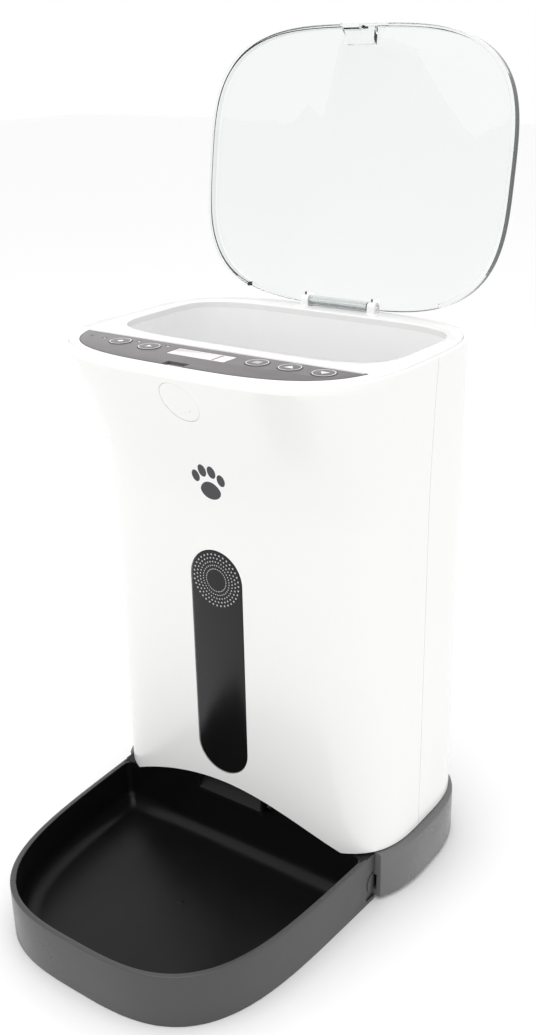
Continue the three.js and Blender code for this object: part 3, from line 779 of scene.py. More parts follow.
# The printed plastic sleeve round each cell, with a metallic ground under a clear coat.
CELL_WRAP = Finish("shrink-wrapped cell jacket", "#b7893b", 0.28, 2.0, 0.006,
                   metallic=0.6, shade=0.08, coat=0.4)
BOARD = BoardFinish()
# Clear styrene: the plate nearly vanishes, and the long way through its edges reads grey-green.
CLEAR_LID = ClearFinish("clear moulded styrene", "#fbfcfc", "#b4bec0", 0.35)
# The lid's right skirt gets a painted dark reflection: the dark surround that the clear skirt shows, where it
# is seen through its whole width, is painted into its colour.
CLEAR_PAINTED_DARK_SKIRT = ClearFinish("clear moulded styrene, seen edge-on", "#49545a", "#1c2327", 0.5)


# ---------------------------------------------------------------- casing
# The hopper's mouth, which the top frame's opening is drawn in from.
MOUTH = Plan(88, -54.5, 40, 4.5)
# Heights that pass clean through the panel and the frame's deck, for the holes cut in both.
THROUGH_RIM: Point2 = (300, 312)


@dataclass
class Casing:
    """The white tower in two halves, its top frame, the front window and the marks printed on them."""

    bench: Bench
    half_width: float = 97.5
    back: float = 54.5
    power: float = 3.5
    bottom: float = 32.1
    top: float = 308.0
    wall: float = 2.5
    gap: float = 0.3
    seam: float = 0.08
    hinge: Point2 = (50.2, 311.4)
    lug_radius: float = 2.8
    lug_span: Point2 = (20.0, 25.0)
    pin_bore: float = 1.6
    seam_y: float = -17.0
    flare_start: float = 225.0
    flare_end: float = 306.0
    flare_forward: float = 33.5
    flare_sideways: float = 2.5
    flare_backward: float = 2.0
    flare_power: float = 1.6
    lip_from: float = 303.0
    lip_front: float = -102.3
    lip_inner: float = -101.2
    arch_half: float = 75.0
    arch_foot: float = 32.0
    arch_crown: float = 55.4
    window_radius: float = 17.2
    window_top: float = 184.0
    window_bottom: float = 79.5
    button_z: float = 289.0
    button_radius: float = 11.3
    frame_bottom: float = 304.8
    frame_top: float = 308.3
    arc_points: int = 150

    def flare_at(self, z: float) -> float:
        """How far the tower has flared at a height, from 0 to 1."""
        share = (z - self.flare_start) / (self.flare_end - self.flare_start)
        return min(max(share, 0.0), 1.0) ** self.flare_power

    def front_line(self, z: float) -> float:
        """The y of the tower's front at a height, on the middle plane."""
        flared = TOWER_FRONT - self.flare_forward * self.flare_at(z)
        if z <= self.lip_from:
            return flared
        start = TOWER_FRONT - self.flare_forward * self.flare_at(self.lip_from)
        return lerp(start, self.lip_front, ((z - self.lip_from) / (self.top - self.lip_from)) ** 2)

    def outside(self, z: float) -> Plan:
        """The tower's outline at a height."""
        flare = self.flare_at(z)
        return Plan(self.half_width + self.flare_sideways * flare, self.front_line(z),
                    self.back + self.flare_backward * flare, self.power)

    def inside(self, z: float) -> Plan:
        """The hollow's outline at a height."""
        outline = self.outside(z).inset(self.wall)
        return replace(outline, front=self.lip_inner) if z > self.lip_from else outline

    def arch(self, lift: float, foot: float, steps: int = 64) -> list[Point2]:
        """The doorway over the tray, in x and z, with legs.

        Args:
            lift: how much wider it is drawn than the tower's own.
            foot: how low the legs reach.
            steps: points on the arc.

        Returns:
            The outline.
        """
        rise = self.arch_crown - self.arch_foot
        radius = (self.arch_half**2 + rise**2) / (2 * rise) + lift
        centre = self.arch_crown + lift - radius
        start = math.atan2(self.arch_foot - centre, math.sqrt(radius**2 - (self.arch_foot - centre) ** 2))
        angles = [lerp(start, math.pi - start, i / steps) for i in range(steps + 1)]
        arc = [(radius * math.cos(a), centre + radius * math.sin(a)) for a in angles]
        return [*arc, (arc[-1][0], foot), (arc[0][0], foot)]

    def heights(self) -> list[tuple[float, float]]:
        """The rows of the tower's skin from bottom to top.

        Returns:
            Each row's height, and how much the rounded rim takes off both faces there.
        """
        rows = [(self.bottom, 0.35), (self.bottom + 0.35, 0.0), (120.0, 0.0)]
        rows += [(lerp(self.flare_start, self.lip_from, i / 26), 0.0) for i in range(27)]
        rows += [(lerp(self.lip_from + 0.4, self.top - 0.9, i / 6), 0.0) for i in range(7)]
        rows += [(self.top - 0.9 + 0.9 * math.sin(a), 0.45 * (1 - math.cos(a)))
                 for a in (math.radians(x) for x in (30, 60, 90))]
        return rows

    def half(self, name: str, front: bool) -> bpy.types.Object:
        """One half of the tower as a thick skin.

        Args:
            name: the object's name.
            front: True for the front half.

        Returns:
            The blank.
        """
        cut = self.seam_y - self.gap / 2 if front else self.seam_y + self.gap / 2
        rings: list[Ring] = []
        for z, off in self.heights():
            outer = self.outside(z).inset(off).arc(cut, front, self.arc_points)
            inner = self.inside(z).inset(-off).arc(cut, front, self.arc_points)
            rings.append(level([*outer, *inner[::-1]], z))
        return self.bench.loft(name, rings)

    def front_shell(self) -> None:
        """Builds the front half: the arch, the window's recess, the button's hole and the chute's guards."""
        bench = self.bench
        half = self.half("front_half", True)
        guards = [bench.box((x - 0.7, x + 0.7), (-69.7, -65.2), (46, 66)) for x in (-26.6, 26.6)]
        bench.work(half, Join.ADD, *guards)
        bench.work(
            half, Join.CUT,
            bench.pull("arch", self.arch(0, 20), Axis.Y, -110, -50),
            bench.pull("recess", stadium(self.window_radius + self.gap, self.window_bottom, self.window_top),
                       Axis.Y, -80, -60),
            bench.pull("hole", circle(self.button_radius + self.seam, 96, (0, self.button_z)),
                       Axis.Y, -120, -80),
        )
        bench.finish(half, "front_casing", "housing", WHITE_ABS.material(), ["front_shell"], "white_abs")

    def rear_shell(self) -> None:
        """Builds the rear half, closed from rim to base."""
        half = self.half("rear_half", False)
        self.bench.finish(half, "rear_casing", "housing", WHITE_ABS.material(), ["rear_shell"], "white_abs")

    def window(self) -> None:
        """Builds the long black window, its edge softly rounded."""
        rings: list[Ring] = []
        face = TOWER_FRONT
        for depth, inset in ((0.0, 1.0), (0.12, 0.5), (0.4, 0.15), (0.9, 0.0), (2.8, 0.0)):
            outline = stadium(self.window_radius - inset, self.window_bottom, self.window_top, 48)
            rings.append([(x, face + depth, z) for x, z in outline])
        for depth in (2.8, 4.2):
            outline = stadium(self.window_radius + 3.3, self.window_bottom, self.window_top, 48)
            rings.append([(x, face + depth, z) for x, z in outline])
        piece = self.bench.loft("window", rings)
        self.bench.finish(piece, "front_window_face", "housing", BLACK_ACRYLIC.material(), ["front_window"],
                          "gloss_black")

    def frame(self) -> None:
        """Builds the top frame around the hopper's mouth, with the panel's recess and the hinge lugs."""
        bench = self.bench
        outer = self.inside(self.top).inset(self.seam)
        opening = MOUTH.inset(1.5)
        rows = [(self.frame_bottom, 0.0, 0.0), (self.frame_top - 0.5, 0.0, 0.0),
                (self.frame_top - 0.15, 0.12, 0.25), (self.frame_top, 0.45, 0.8)]
        rings = [level(outer.inset(a).points(320), z) for z, a, _ in rows]
        rings += [level(opening.inset(-b).points(320), z) for z, _, b in reversed(rows)]
        body = bench.loft("frame", rings, tube=True)
        hinge_y, hinge_z = self.hinge
        radius, (near, far) = self.lug_radius, self.lug_span
        for span in ((-far, -near), (near, far)):
            lug = [(hinge_y + radius * math.cos(a), hinge_z + radius * math.sin(a))
                   for a in (math.pi * i / 20 for i in range(21))]
            lug += [(hinge_y - radius, self.frame_top - 1), (hinge_y + radius, self.frame_top - 1)]
            bench.work(body, Join.ADD, bench.pull("lug", lug, Axis.X, *span))
        panel = ControlPanel(bench)
        bench.work(
            body, Join.CUT,
            bench.pull("recess", panel.outline(-self.gap), Axis.Z, 306.8, 312),
            bench.box((-5.6, 5.6), (-98.9, -93), THROUGH_RIM),
            bench.box((-15.5, 15.5), (-80.5, -72.5), THROUGH_RIM),
            *[bench.pull("stem", circle(2.3, 24, spot), Axis.Z, *THROUGH_RIM)
              for spot in panel.keys.values()],
            *[bench.pull("light", circle(1.4, 24, spot), Axis.Z, *THROUGH_RIM) for spot in panel.lights],
            bench.pull("pin", circle(self.pin_bore, 32, (hinge_y, hinge_z)), Axis.X, -40, 40),
        )
        bench.finish(body, "top_rim", "housing", WHITE_ABS.material(), ["top_frame"], "white_abs")

    def paw(self) -> None:
        """Prints a plain paw above the window, on the curve of the tower's front."""
        pads = [((0.0, 236.0), (6.6, 5.2)), ((-8.2, 243.4), (2.5, 3.5)), ((-3.0, 247.4), (2.6, 3.7)),
                ((3.0, 247.4), (2.6, 3.7)), ((8.2, 243.4), (2.5, 3.5))]
        points: list[Point3] = []
        faces: list[list[int]] = []
        count = 40
        for (cx, cz), (rx, rz) in pads:
            for lift in (-0.25, 0.06):
                start = len(points)
                for i in range(count):
                    a = 2 * math.pi * i / count
                    pull = 1 - 0.16 * max(math.sin(a), 0) if rx > 5 else 1.0
                    x, z = cx + rx * pull * math.cos(a), cz + rz * math.sin(a)
                    points.append((x, self.outside(z).front_at(x) - lift, z))
                faces.append(list(range(start, start + count)))
            under, over = len(points) - 2 * count, len(points) - count
            for i in range(count):
                j = (i + 1) % count
                faces.append([under + i, under + j, over + j, over + i])
        piece = self.bench.blank("paw", points, faces)
        self.bench.finish(piece, "paw_print", "housing", GREY_INK.material())

    def build(self) -> None:
        """Builds every piece of the casing."""
        self.front_shell()
        self.rear_shell()
        self.window()
        self.frame()
        self.paw()


# ---------------------------------------------------------------- controls
class Glyph(Enum):
    """What is printed on a key."""

    DOT = "dot"
    RIGHT = "right"
    BARS = "bars"
    UP = "up"
    DOWN = "down"


@dataclass
class ControlPanel:
    """The printed panel along the front of the rim, with its keys, lights, display and microphone hole."""

    bench: Bench
    half_width: float = 91.5
    front: float = -99.0
    back: float = 50.0
    power: float = 3.3
    cut_y: float = -63.5
    bottom: float = 307.1
    top: float = 308.6
    key_radius: float = 5.9
    key_hole: float = 6.25
    key_top: float = 309.0
    lcd_half: float = 18.0
    lcd_front: float = -82.0
    lcd_back: float = -71.0
    ink: float = 0.05

    @property
    def keys(self) -> dict[str, Point2]:
        """Where each key is."""
        return {"record_key": (-54, -76), "play_key": (-33.5, -77), "set_key": (33.1, -74.8),
                "up_key": (51.5, -73.9), "down_key": (70.7, -74.1)}

    @property
    def lights(self) -> list[Point2]:
        """Where each status light is."""
        return [(-67, -74.1), (-46, -70.5), (-26.5, -70.5)]

    def outline(self, inset: float = 0.0, count: int = 220) -> list[Point2]:
        """The panel's lens shape: a rounded front with a straight back.

        Args:
            inset: how far every side moves inwards.
            count: points on the rounded front.

        Returns:
            The outline.
        """
        plan = Plan(self.half_width, self.front, self.back, self.power).inset(inset)
        return plan.arc(self.cut_y - inset, True, count)

    def face(self) -> None:
        """Builds the panel itself, with a fine rounded edge and its holes."""
        bench = self.bench
        gap = 0.25
        rows = [(self.bottom, 0.0), (self.top - 0.35, 0.0), (self.top - 0.1, 0.1), (self.top, 0.35)]
        body = bench.loft("panel", [level(self.outline(a), z) for z, a in rows])
        bench.work(
            body, Join.CUT,
            bench.box((-6.6, 6.6), (-110, -93.5), THROUGH_RIM),
            bench.box((-self.lcd_half - gap, self.lcd_half + gap),
                      (self.lcd_front - gap, self.lcd_back + gap), THROUGH_RIM),
            *[bench.pull("key", circle(self.key_hole, 64, spot), Axis.Z, *THROUGH_RIM)
              for spot in self.keys.values()],
            *[bench.pull("light", circle(1.3, 24, spot), Axis.Z, *THROUGH_RIM) for spot in self.lights],
            bench.pull("microphone", circle(0.8, 24, (-76.8, -73.4)), Axis.Z, *THROUGH_RIM),
        )
        bench.finish(body, "panel_face", "housing", PANEL_FILM.material(), ["control_panel"], "panel_grey")

    def border(self) -> None:
        """Prints the pale line along the panel's straight back edge."""
        left, right = self.outline(0.8)[0], self.outline(0.8)[-1]
        strip = self.bench.box((left[0], right[0]), (self.cut_y - 2.0, self.cut_y - 0.7),
                               (self.top - 0.02, self.top + self.ink))
        self.bench.finish(strip, "panel_border", "housing", PANEL_EDGE.material())

    def ring(self, spot: Point2, radius: float, width: float) -> bpy.types.Object:
        """A printed ring.

        Args:
            spot: its middle.
            radius: its outer radius.
            width: how wide the line is.

        Returns:
            The blank.
        """
        rings: list[Ring] = []
        low, high = self.key_top - 0.02, self.key_top + self.ink
        for inset, z in ((0, low), (0, high), (width, high), (width, low)):
            rings.append(level(circle(radius - inset, 64, spot), z))
        return self.bench.loft("ring", rings, tube=True)

    def glyph(self, kind: Glyph, spot: Point2) -> list[bpy.types.Object]:
        """The mark on a key.

        Args:
            kind: which mark.
            spot: its middle.

        Returns:
            The blanks that make it.
        """
        x, y = spot
        outlines = {
            Glyph.DOT: [circle(1.5, 32, spot)],
            Glyph.RIGHT: [[(x - 1.3, y - 1.7), (x + 1.9, y), (x - 1.3, y + 1.7)]],
            Glyph.BARS: [[(x - 2, y + d - 0.3), (x + 2, y + d - 0.3),
                          (x + 2, y + d + 0.3), (x - 2, y + d + 0.3)] for d in (-1.4, 0, 1.4)],
            Glyph.UP: [[(x - 2.6, y - 1.5), (x + 2.6, y - 1.5), (x, y + 2.1)]],
            Glyph.DOWN: [[(x - 2.6, y + 1.5), (x, y - 2.1), (x + 2.6, y + 1.5)]],
        }[kind]
        low, high = self.key_top - 0.02, self.key_top + self.ink
        return [self.bench.pull("glyph", outline, Axis.Z, low, high) for outline in outlines]

    def key_pieces(self) -> None:
        """Builds each key's cap and stem, and prints its ring and its mark."""
        marks = dict(zip(self.keys, (Glyph.DOT, Glyph.RIGHT, Glyph.BARS, Glyph.UP, Glyph.DOWN)))
        for name, spot in self.keys.items():
            r, top = self.key_radius, self.key_top
            cap = self.bench.turn(name, [(0, 301.2), (1.8, 301.2), (1.8, 307.6), (r, 307.6), (r, top - 0.25),
                                         (r - 0.08, top - 0.08), (r - 0.3, top), (0, top)], Axis.Z, spot, 72)
            self.bench.finish(cap, f"{name}_cap", f"{name}_body", PANEL_FILM.material(), [name], "panel_grey")
            ink = self.ring(spot, 5.75, 0.42)
            self.bench.work(ink, Join.ADD, *self.glyph(marks[name], spot))
            self.bench.finish(ink, f"{name}_print", f"{name}_body", WHITE_INK.material())

    def frame_lines(self, low: float, high: float) -> tuple[list[Point3], list[list[int]]]:
        """The thin border printed round the display.

        Args:
            low: its underside.
            high: its top.

        Returns:
            Its corners and its faces.
        """
        points: list[Point3] = []
        for inset, z in ((0.15, low), (0.15, high), (0.75, high), (0.75, low)):
            x, front, back = self.lcd_half - inset, self.lcd_front + inset, self.lcd_back - inset
            points += [(-x, front, z), (x, front, z), (x, back, z), (-x, back, z)]
        faces = [[a * 4 + i, a * 4 + (i + 1) % 4, (a + 1) % 4 * 4 + (i + 1) % 4, (a + 1) % 4 * 4 + i]
                 for a in range(4) for i in range(4)]
        return points, faces

    def display(self) -> None:
        """Builds the display: its pale lens, the printed border and the dark edge of the cell under it."""
        bench = self.bench
        lens = bench.box((-self.lcd_half, self.lcd_half), (self.lcd_front, self.lcd_back), (307.1, 308.5))
        bench.soften(lens, 0.2)
        bench.finish(lens, "display_lens", "housing", LCD_GLASS.material(), ["lcd_window"], "clear_plastic")
        low, high = 308.48, 308.5 + self.ink
        edge = bench.box((9.9, 10.6), (self.lcd_front + 0.6, self.lcd_back - 0.6), (low, high))
        bench.finish(edge, "display_edge", "housing", BLACK_PLASTIC.material())
        border = bench.blank("border", *self.frame_lines(low, high))
        bench.finish(border, "display_border", "housing", WHITE_INK.material())

    def lamps(self) -> None:
        """Builds the three round lenses of the status lights."""
        for i, spot in enumerate(self.lights):
            lens = self.bench.turn("lamp", [(0, 302), (0.95, 302), (0.95, 308.2), (0.75, 308.42), (0, 308.5)],
                                   Axis.Z, spot, 32)
            self.bench.finish(lens, f"status_lens_{i + 1}", "housing", WHITE_INK.material(),
                              [f"status_light_{i + 1}"], "clear_plastic")

    def build(self) -> None:
        """Builds every piece of the panel."""
        self.face()
        self.border()
        self.key_pieces()
        self.display()
        self.lamps()


# ---------------------------------------------------------------- lid
@dataclass
class Lid:
    """The clear lid, drawn closed about its hinge axis and then stood open, and its release button."""

    bench: Bench
    casing: Casing
    hinge_y: float = 50.2
    hinge_z: float = 311.4
    lean: float = 8.5
    half_width: float = 97.5
    reach: float = 149.5
    behind: float = 2.1
    power: float = 3.35
    plate_under: float = 2.2
    plate_over: float = 4.2
    skirt: float = -2.5
    barrel: float = 2.7
    barrel_half: float = 19.3
    bore: float = 1.6
    wall: float = 2.0
    web_half: float = 9.0
    web_back: float = -139.0
    web_under: float = -1.2
    hook_half: float = 5.0
    hook_front: float = -97.4
    hook_thick: float = 1.7
    hook_bottom: float = 300.5

    def cover(self) -> bpy.types.Object:
        """The plate and its skirt, with every edge rounded.

        Returns:
            The blank, about the hinge axis.
        """
        outline = Plan(self.half_width, -self.reach, self.behind, self.power)
        rounding, fillet, wall = 1.3, 0.8, self.wall
        rows = [(wall, self.skirt + 0.4), (wall - 0.4, self.skirt), (0.4, self.skirt),
                (0.0, self.skirt + 0.4), (0.0, self.plate_over - rounding)]
        arc = [math.radians(a) for a in (22.5, 45, 67.5, 90)]
        rows += [(rounding * (1 - math.cos(a)), self.plate_over - rounding * (1 - math.sin(a))) for a in arc]
        outer = [level(outline.inset(d).points(320), z) for d, z in rows]
        inner_rows = [(wall + fillet * (1 - math.cos(a)), self.plate_under - fillet * (1 - math.sin(a)))
                      for a in arc]
        inner = [level(outline.inset(d).points(320), z) for d, z in inner_rows]
        return self.bench.loft("cover", [*inner[::-1], *outer])

    def thumb_recess(self) -> bpy.types.Object:
        """The shallow tapering hollow at the lid's front edge, over the hook.

        Returns:
            The cutting tool.
        """
        front = -self.reach
        low = [(-17, front - 2), (17, front - 2), (9, front + 7), (-9, front + 7)]
        high = [(-20, front - 5), (20, front - 5), (11, front + 9), (-11, front + 9)]
        bottom, above = self.plate_over - 0.8, self.plate_over + 0.3
        return self.bench.loft("recess", [level(low, bottom), level(high, above)])

    def on_painted_dark_skirt(self, face: bpy.types.MeshPolygon) -> bool:
        """Whether a face is on the straighter part of the skirt's right side, which gets the painted dark
        reflection.
        """
        x, _, z = face.center
        return z < self.plate_over - 1.0 and x > self.half_width - 9 and abs(face.normal.x) > 0.86

    def build_cover(self) -> None:
        """Builds the lid: the cover, its hinge barrel, its hook and the notches for the frame's lugs."""
        bench, cover = self.bench, self.cover()
        hook_y, hook_z = self.hook_front - self.hinge_y, self.hook_bottom - self.hinge_z
        barb = [(hook_y + self.hook_thick - 0.1 + y, hook_z + z) for y, z in ((0, 0), (0, 2.2), (1.4, 2.2))]
        bench.work(
            cover, Join.CUT,
            bench.box((-64, 64), (-7, 8), (self.skirt - 1, self.plate_under)),
            *[bench.box(x, (-4.2, 8), (-8, 8)) for x in ((19.6, 25.4), (-25.4, -19.6))],
            self.thumb_recess(),
        )
        bench.work(
            cover, Join.ADD,
            bench.pull("barrel", circle(self.barrel, 48), Axis.X, -self.barrel_half, self.barrel_half),
            bench.box((-self.hook_half, self.hook_half), (hook_y, hook_y + self.hook_thick),
                      (hook_z, self.plate_under + 0.2)),
            bench.pull("barb", barb, Axis.X, -self.hook_half, self.hook_half),
            bench.box((-self.web_half, self.web_half), (1.5 - self.reach, self.web_back),
                      (self.web_under, self.plate_under + 0.2)),
        )
        bench.work(cover, Join.CUT, bench.pull("bore", circle(self.bore, 32), Axis.X, -30, 30))
        stand = Matrix.Translation((0, self.hinge_y, self.hinge_z)) @ Matrix.Rotation(
            math.radians(-90 - self.lean), 4, "X")
        # The right skirt's faces get the painted dark reflection.
        bench.dress(cover, CLEAR_LID.material(), CLEAR_PAINTED_DARK_SKIRT.material(), self.on_painted_dark_skirt)
        bench.move(cover, stand)
        bench.finish(cover, "clear_lid", "lid_body", None, ["lid"], "clear_plastic")

    def button(self) -> None:
        """Builds the release button: a cap that follows the flare, on its seat and arm."""
        bench, casing = self.bench, self.casing
        rings: list[Ring] = []
        radius, centre = casing.button_radius, casing.button_z
        for inset, depth in ((0.0, 3.0), (0.0, 0.5), (0.12, 0.14), (0.5, 0.0)):
            rings.append([(x, casing.outside(z).front_at(x) + depth, z)
                          for x, z in circle(radius - inset, 96, (0, centre))])
        for share in (0.75, 0.5, 0.25):
            rings.append([(x, casing.outside(z).front_at(x), z)
                          for x, z in circle(radius * share, 96, (0, centre))])
        back = [(x, casing.outside(z).front_at(x) + 3.0, z)
                for x, z in circle(radius * 0.4, 96, (0, centre))]
        cap = bench.loft("cap", [back, *rings])
        bench.work(
            cap, Join.ADD,
            bench.box((-4.5, 4.5), (-93, -86.5), (centre - 5, centre + 3)),
            bench.box((-4.5, 4.5), (-89.5, -86.5), (centre, 304.5)),
            bench.box((-4.5, 4.5), (-92.6, -88.5), (302.9, 304.5)),
        )
        bench.finish(cap, "release_button_cap", "release_button", WHITE_ABS.material(),
                     ["lid_release_button"], "white_abs")

    def pin(self) -> None:
        """Builds the hinge pin, with chamfered ends."""
        profile = [(0, -25), (1.0, -25), (1.25, -24.7), (1.25, 24.7), (1.0, 25), (0, 25)]
        pin = self.bench.turn("pin", profile, Axis.X, (self.hinge_y, self.hinge_z), 40)
        self.bench.finish(pin, "hinge_pin", "housing", NICKEL.material(), ["lid_hinge_pin"], "steel")

    def build(self) -> None:
        """Builds every piece of the lid and its latch."""
        self.build_cover()
        self.button()
        self.pin()


# ---------------------------------------------------------------- base
@dataclass
class Base:
    """The dark base under the tower, its underside, its feet and screws, and the power socket."""

    bench: Bench
    casing: Casing
    half_width: float = 102.0
    front: float = -83.7
    back: float = 59.3
    power: float = 2.6
    back_power: float = 3.1
    bottom: float = 2.3
    top: float = 31.5
    bay_half: float = 79.5
    wall_y: float = -57.6
    cheek_y: float = -51.5
    wall: float = 2.5
    jack_z: float = 17.0
    jack_radius: float = 5.0

    @property
    def outline(self) -> Plan:
        """The base's outer outline."""
        return Plan(self.half_width, self.front, self.back, self.power, self.back_power)

    @property
    def screws(self) -> list[Point2]:
        """Where each base screw is."""
        return [(-84, -22), (84, -22), (-66, 14), (66, 14)]

    @property
    def feet(self) -> list[Point2]:
        """Where each foot is."""
        return [(-74, -34), (74, -34), (-66, 34), (66, 34)]

    def housing(self) -> None:
        """Builds the base's skirt and deck, the arch wall behind the tray, and the screws' bosses."""
        bench, plan = self.bench, self.outline
        rows = [(self.bottom, 0.6), (self.bottom + 0.3, 0.2), (self.bottom + 0.8, 0.0),
                (self.top - 1.4, 0.0), (self.top - 0.8, 0.15), (self.top - 0.3, 0.55), (self.top, 1.2)]
        body = bench.loft("skirt", [level(plan.inset(a).points(300), z) for z, a in rows])
        bench.work(body, Join.CUT, bench.box((-120, 120), (-120, self.cheek_y), (0, 60)))
        arch_wall = bench.pull("arch_wall", self.casing.arch(2.6, 10), Axis.Y, self.wall_y, self.wall_y + 2)
        bench.work(body, Join.ADD,
                   bench.box((-self.bay_half, self.bay_half), (self.wall_y, self.cheek_y + 6),
                             (self.bottom, self.top)),
                   arch_wall)
        hollow = bench.pull("hollow", plan.inset(self.wall).points(300), Axis.Z, 1.3, self.top - self.wall)
        bench.work(hollow, Join.CUT, bench.box((-120, 120), (-120, self.cheek_y + self.wall), (0, 60)))
        deck = bench.pull("deck", plan.inset(6).points(300), Axis.Z, 20, 40)
        bench.work(deck, Join.KEEP, bench.box((-86, 86), (-47, 48.2), (19, 41)))
        bay = bench.box((3 - self.bay_half, self.bay_half - 3),
                        (self.wall_y + self.wall, self.cheek_y + 8), (1.3, self.top - self.wall))
        bench.work(body, Join.CUT, hollow, bay, deck)
        for x, y in self.screws:
            out = math.copysign(98, x)
            bar = bench.box((min(x, out), max(x, out)), (y - 1.5, y + 1.5), (6, self.top - 1))
            bench.work(bar, Join.KEEP, bench.pull("inside", plan.inset(1).points(300), Axis.Z, 0, self.top))
            boss = bench.pull("boss", circle(4, 40, (x, y)), Axis.Z, 5.4, self.top - 1)
            bench.work(body, Join.ADD, boss, bar)
        holes = [bench.pull("hole", circle(1.9, 32, (x, y)), Axis.Z, 4, 20) for x, y in self.screws]
        pockets = [bench.box(x, (self.cheek_y - 1, self.cheek_y + self.wall + 1), (6.5, 16.5))
                   for x in ((82.5, 90.5), (-90.5, -82.5))]
        bench.work(body, Join.CUT, *holes, *pockets, bench.box((-25, 25), (-60, -50), (45.5, 70)),
                   bench.pull("socket", circle(self.jack_radius + 0.3, 64, (0, self.jack_z)), Axis.Y, 50, 70))
        bench.finish(body, "base_body", "housing", GREY_ABS.material(), ["base_housing"], "grey_abs")

    def foot_pads(self) -> None:
        """Builds the four rubber feet, each a low disc with a rounded rim and a dished middle."""
        profile = [(0, 0.5), (5.4, 0.35), (6.0, 0.0), (7.3, 0.0),
                   (7.85, 0.25), (8.0, 0.8), (8.0, 3.3), (0, 3.3)]
        for i, spot in enumerate(self.feet, start=1):
            foot = self.bench.turn("foot", profile, Axis.Z, spot, 72)
            self.bench.finish(foot, f"rubber_foot_{i}", "housing", RUBBER.material(), [f"foot_{i}"], "rubber")

    def socket(self) -> None:
        """Builds the power socket, with its round mouth and centre pin."""
        self.bench.refined("dc_jack", "power_socket", "housing", BLACK_PLASTIC, "black_plastic", 0.2)

    def build(self) -> None:
        """Builds every piece of the base."""
        self.housing()
        self.bench.refined("base_plate", "base_underside", "housing", GREY_ABS, "grey_abs", 0.25)
        self.bench.refined("battery_door", "battery_hatch", "battery_cover", GREY_ABS, "grey_abs", 0.3)
        self.foot_pads()
        self.socket()


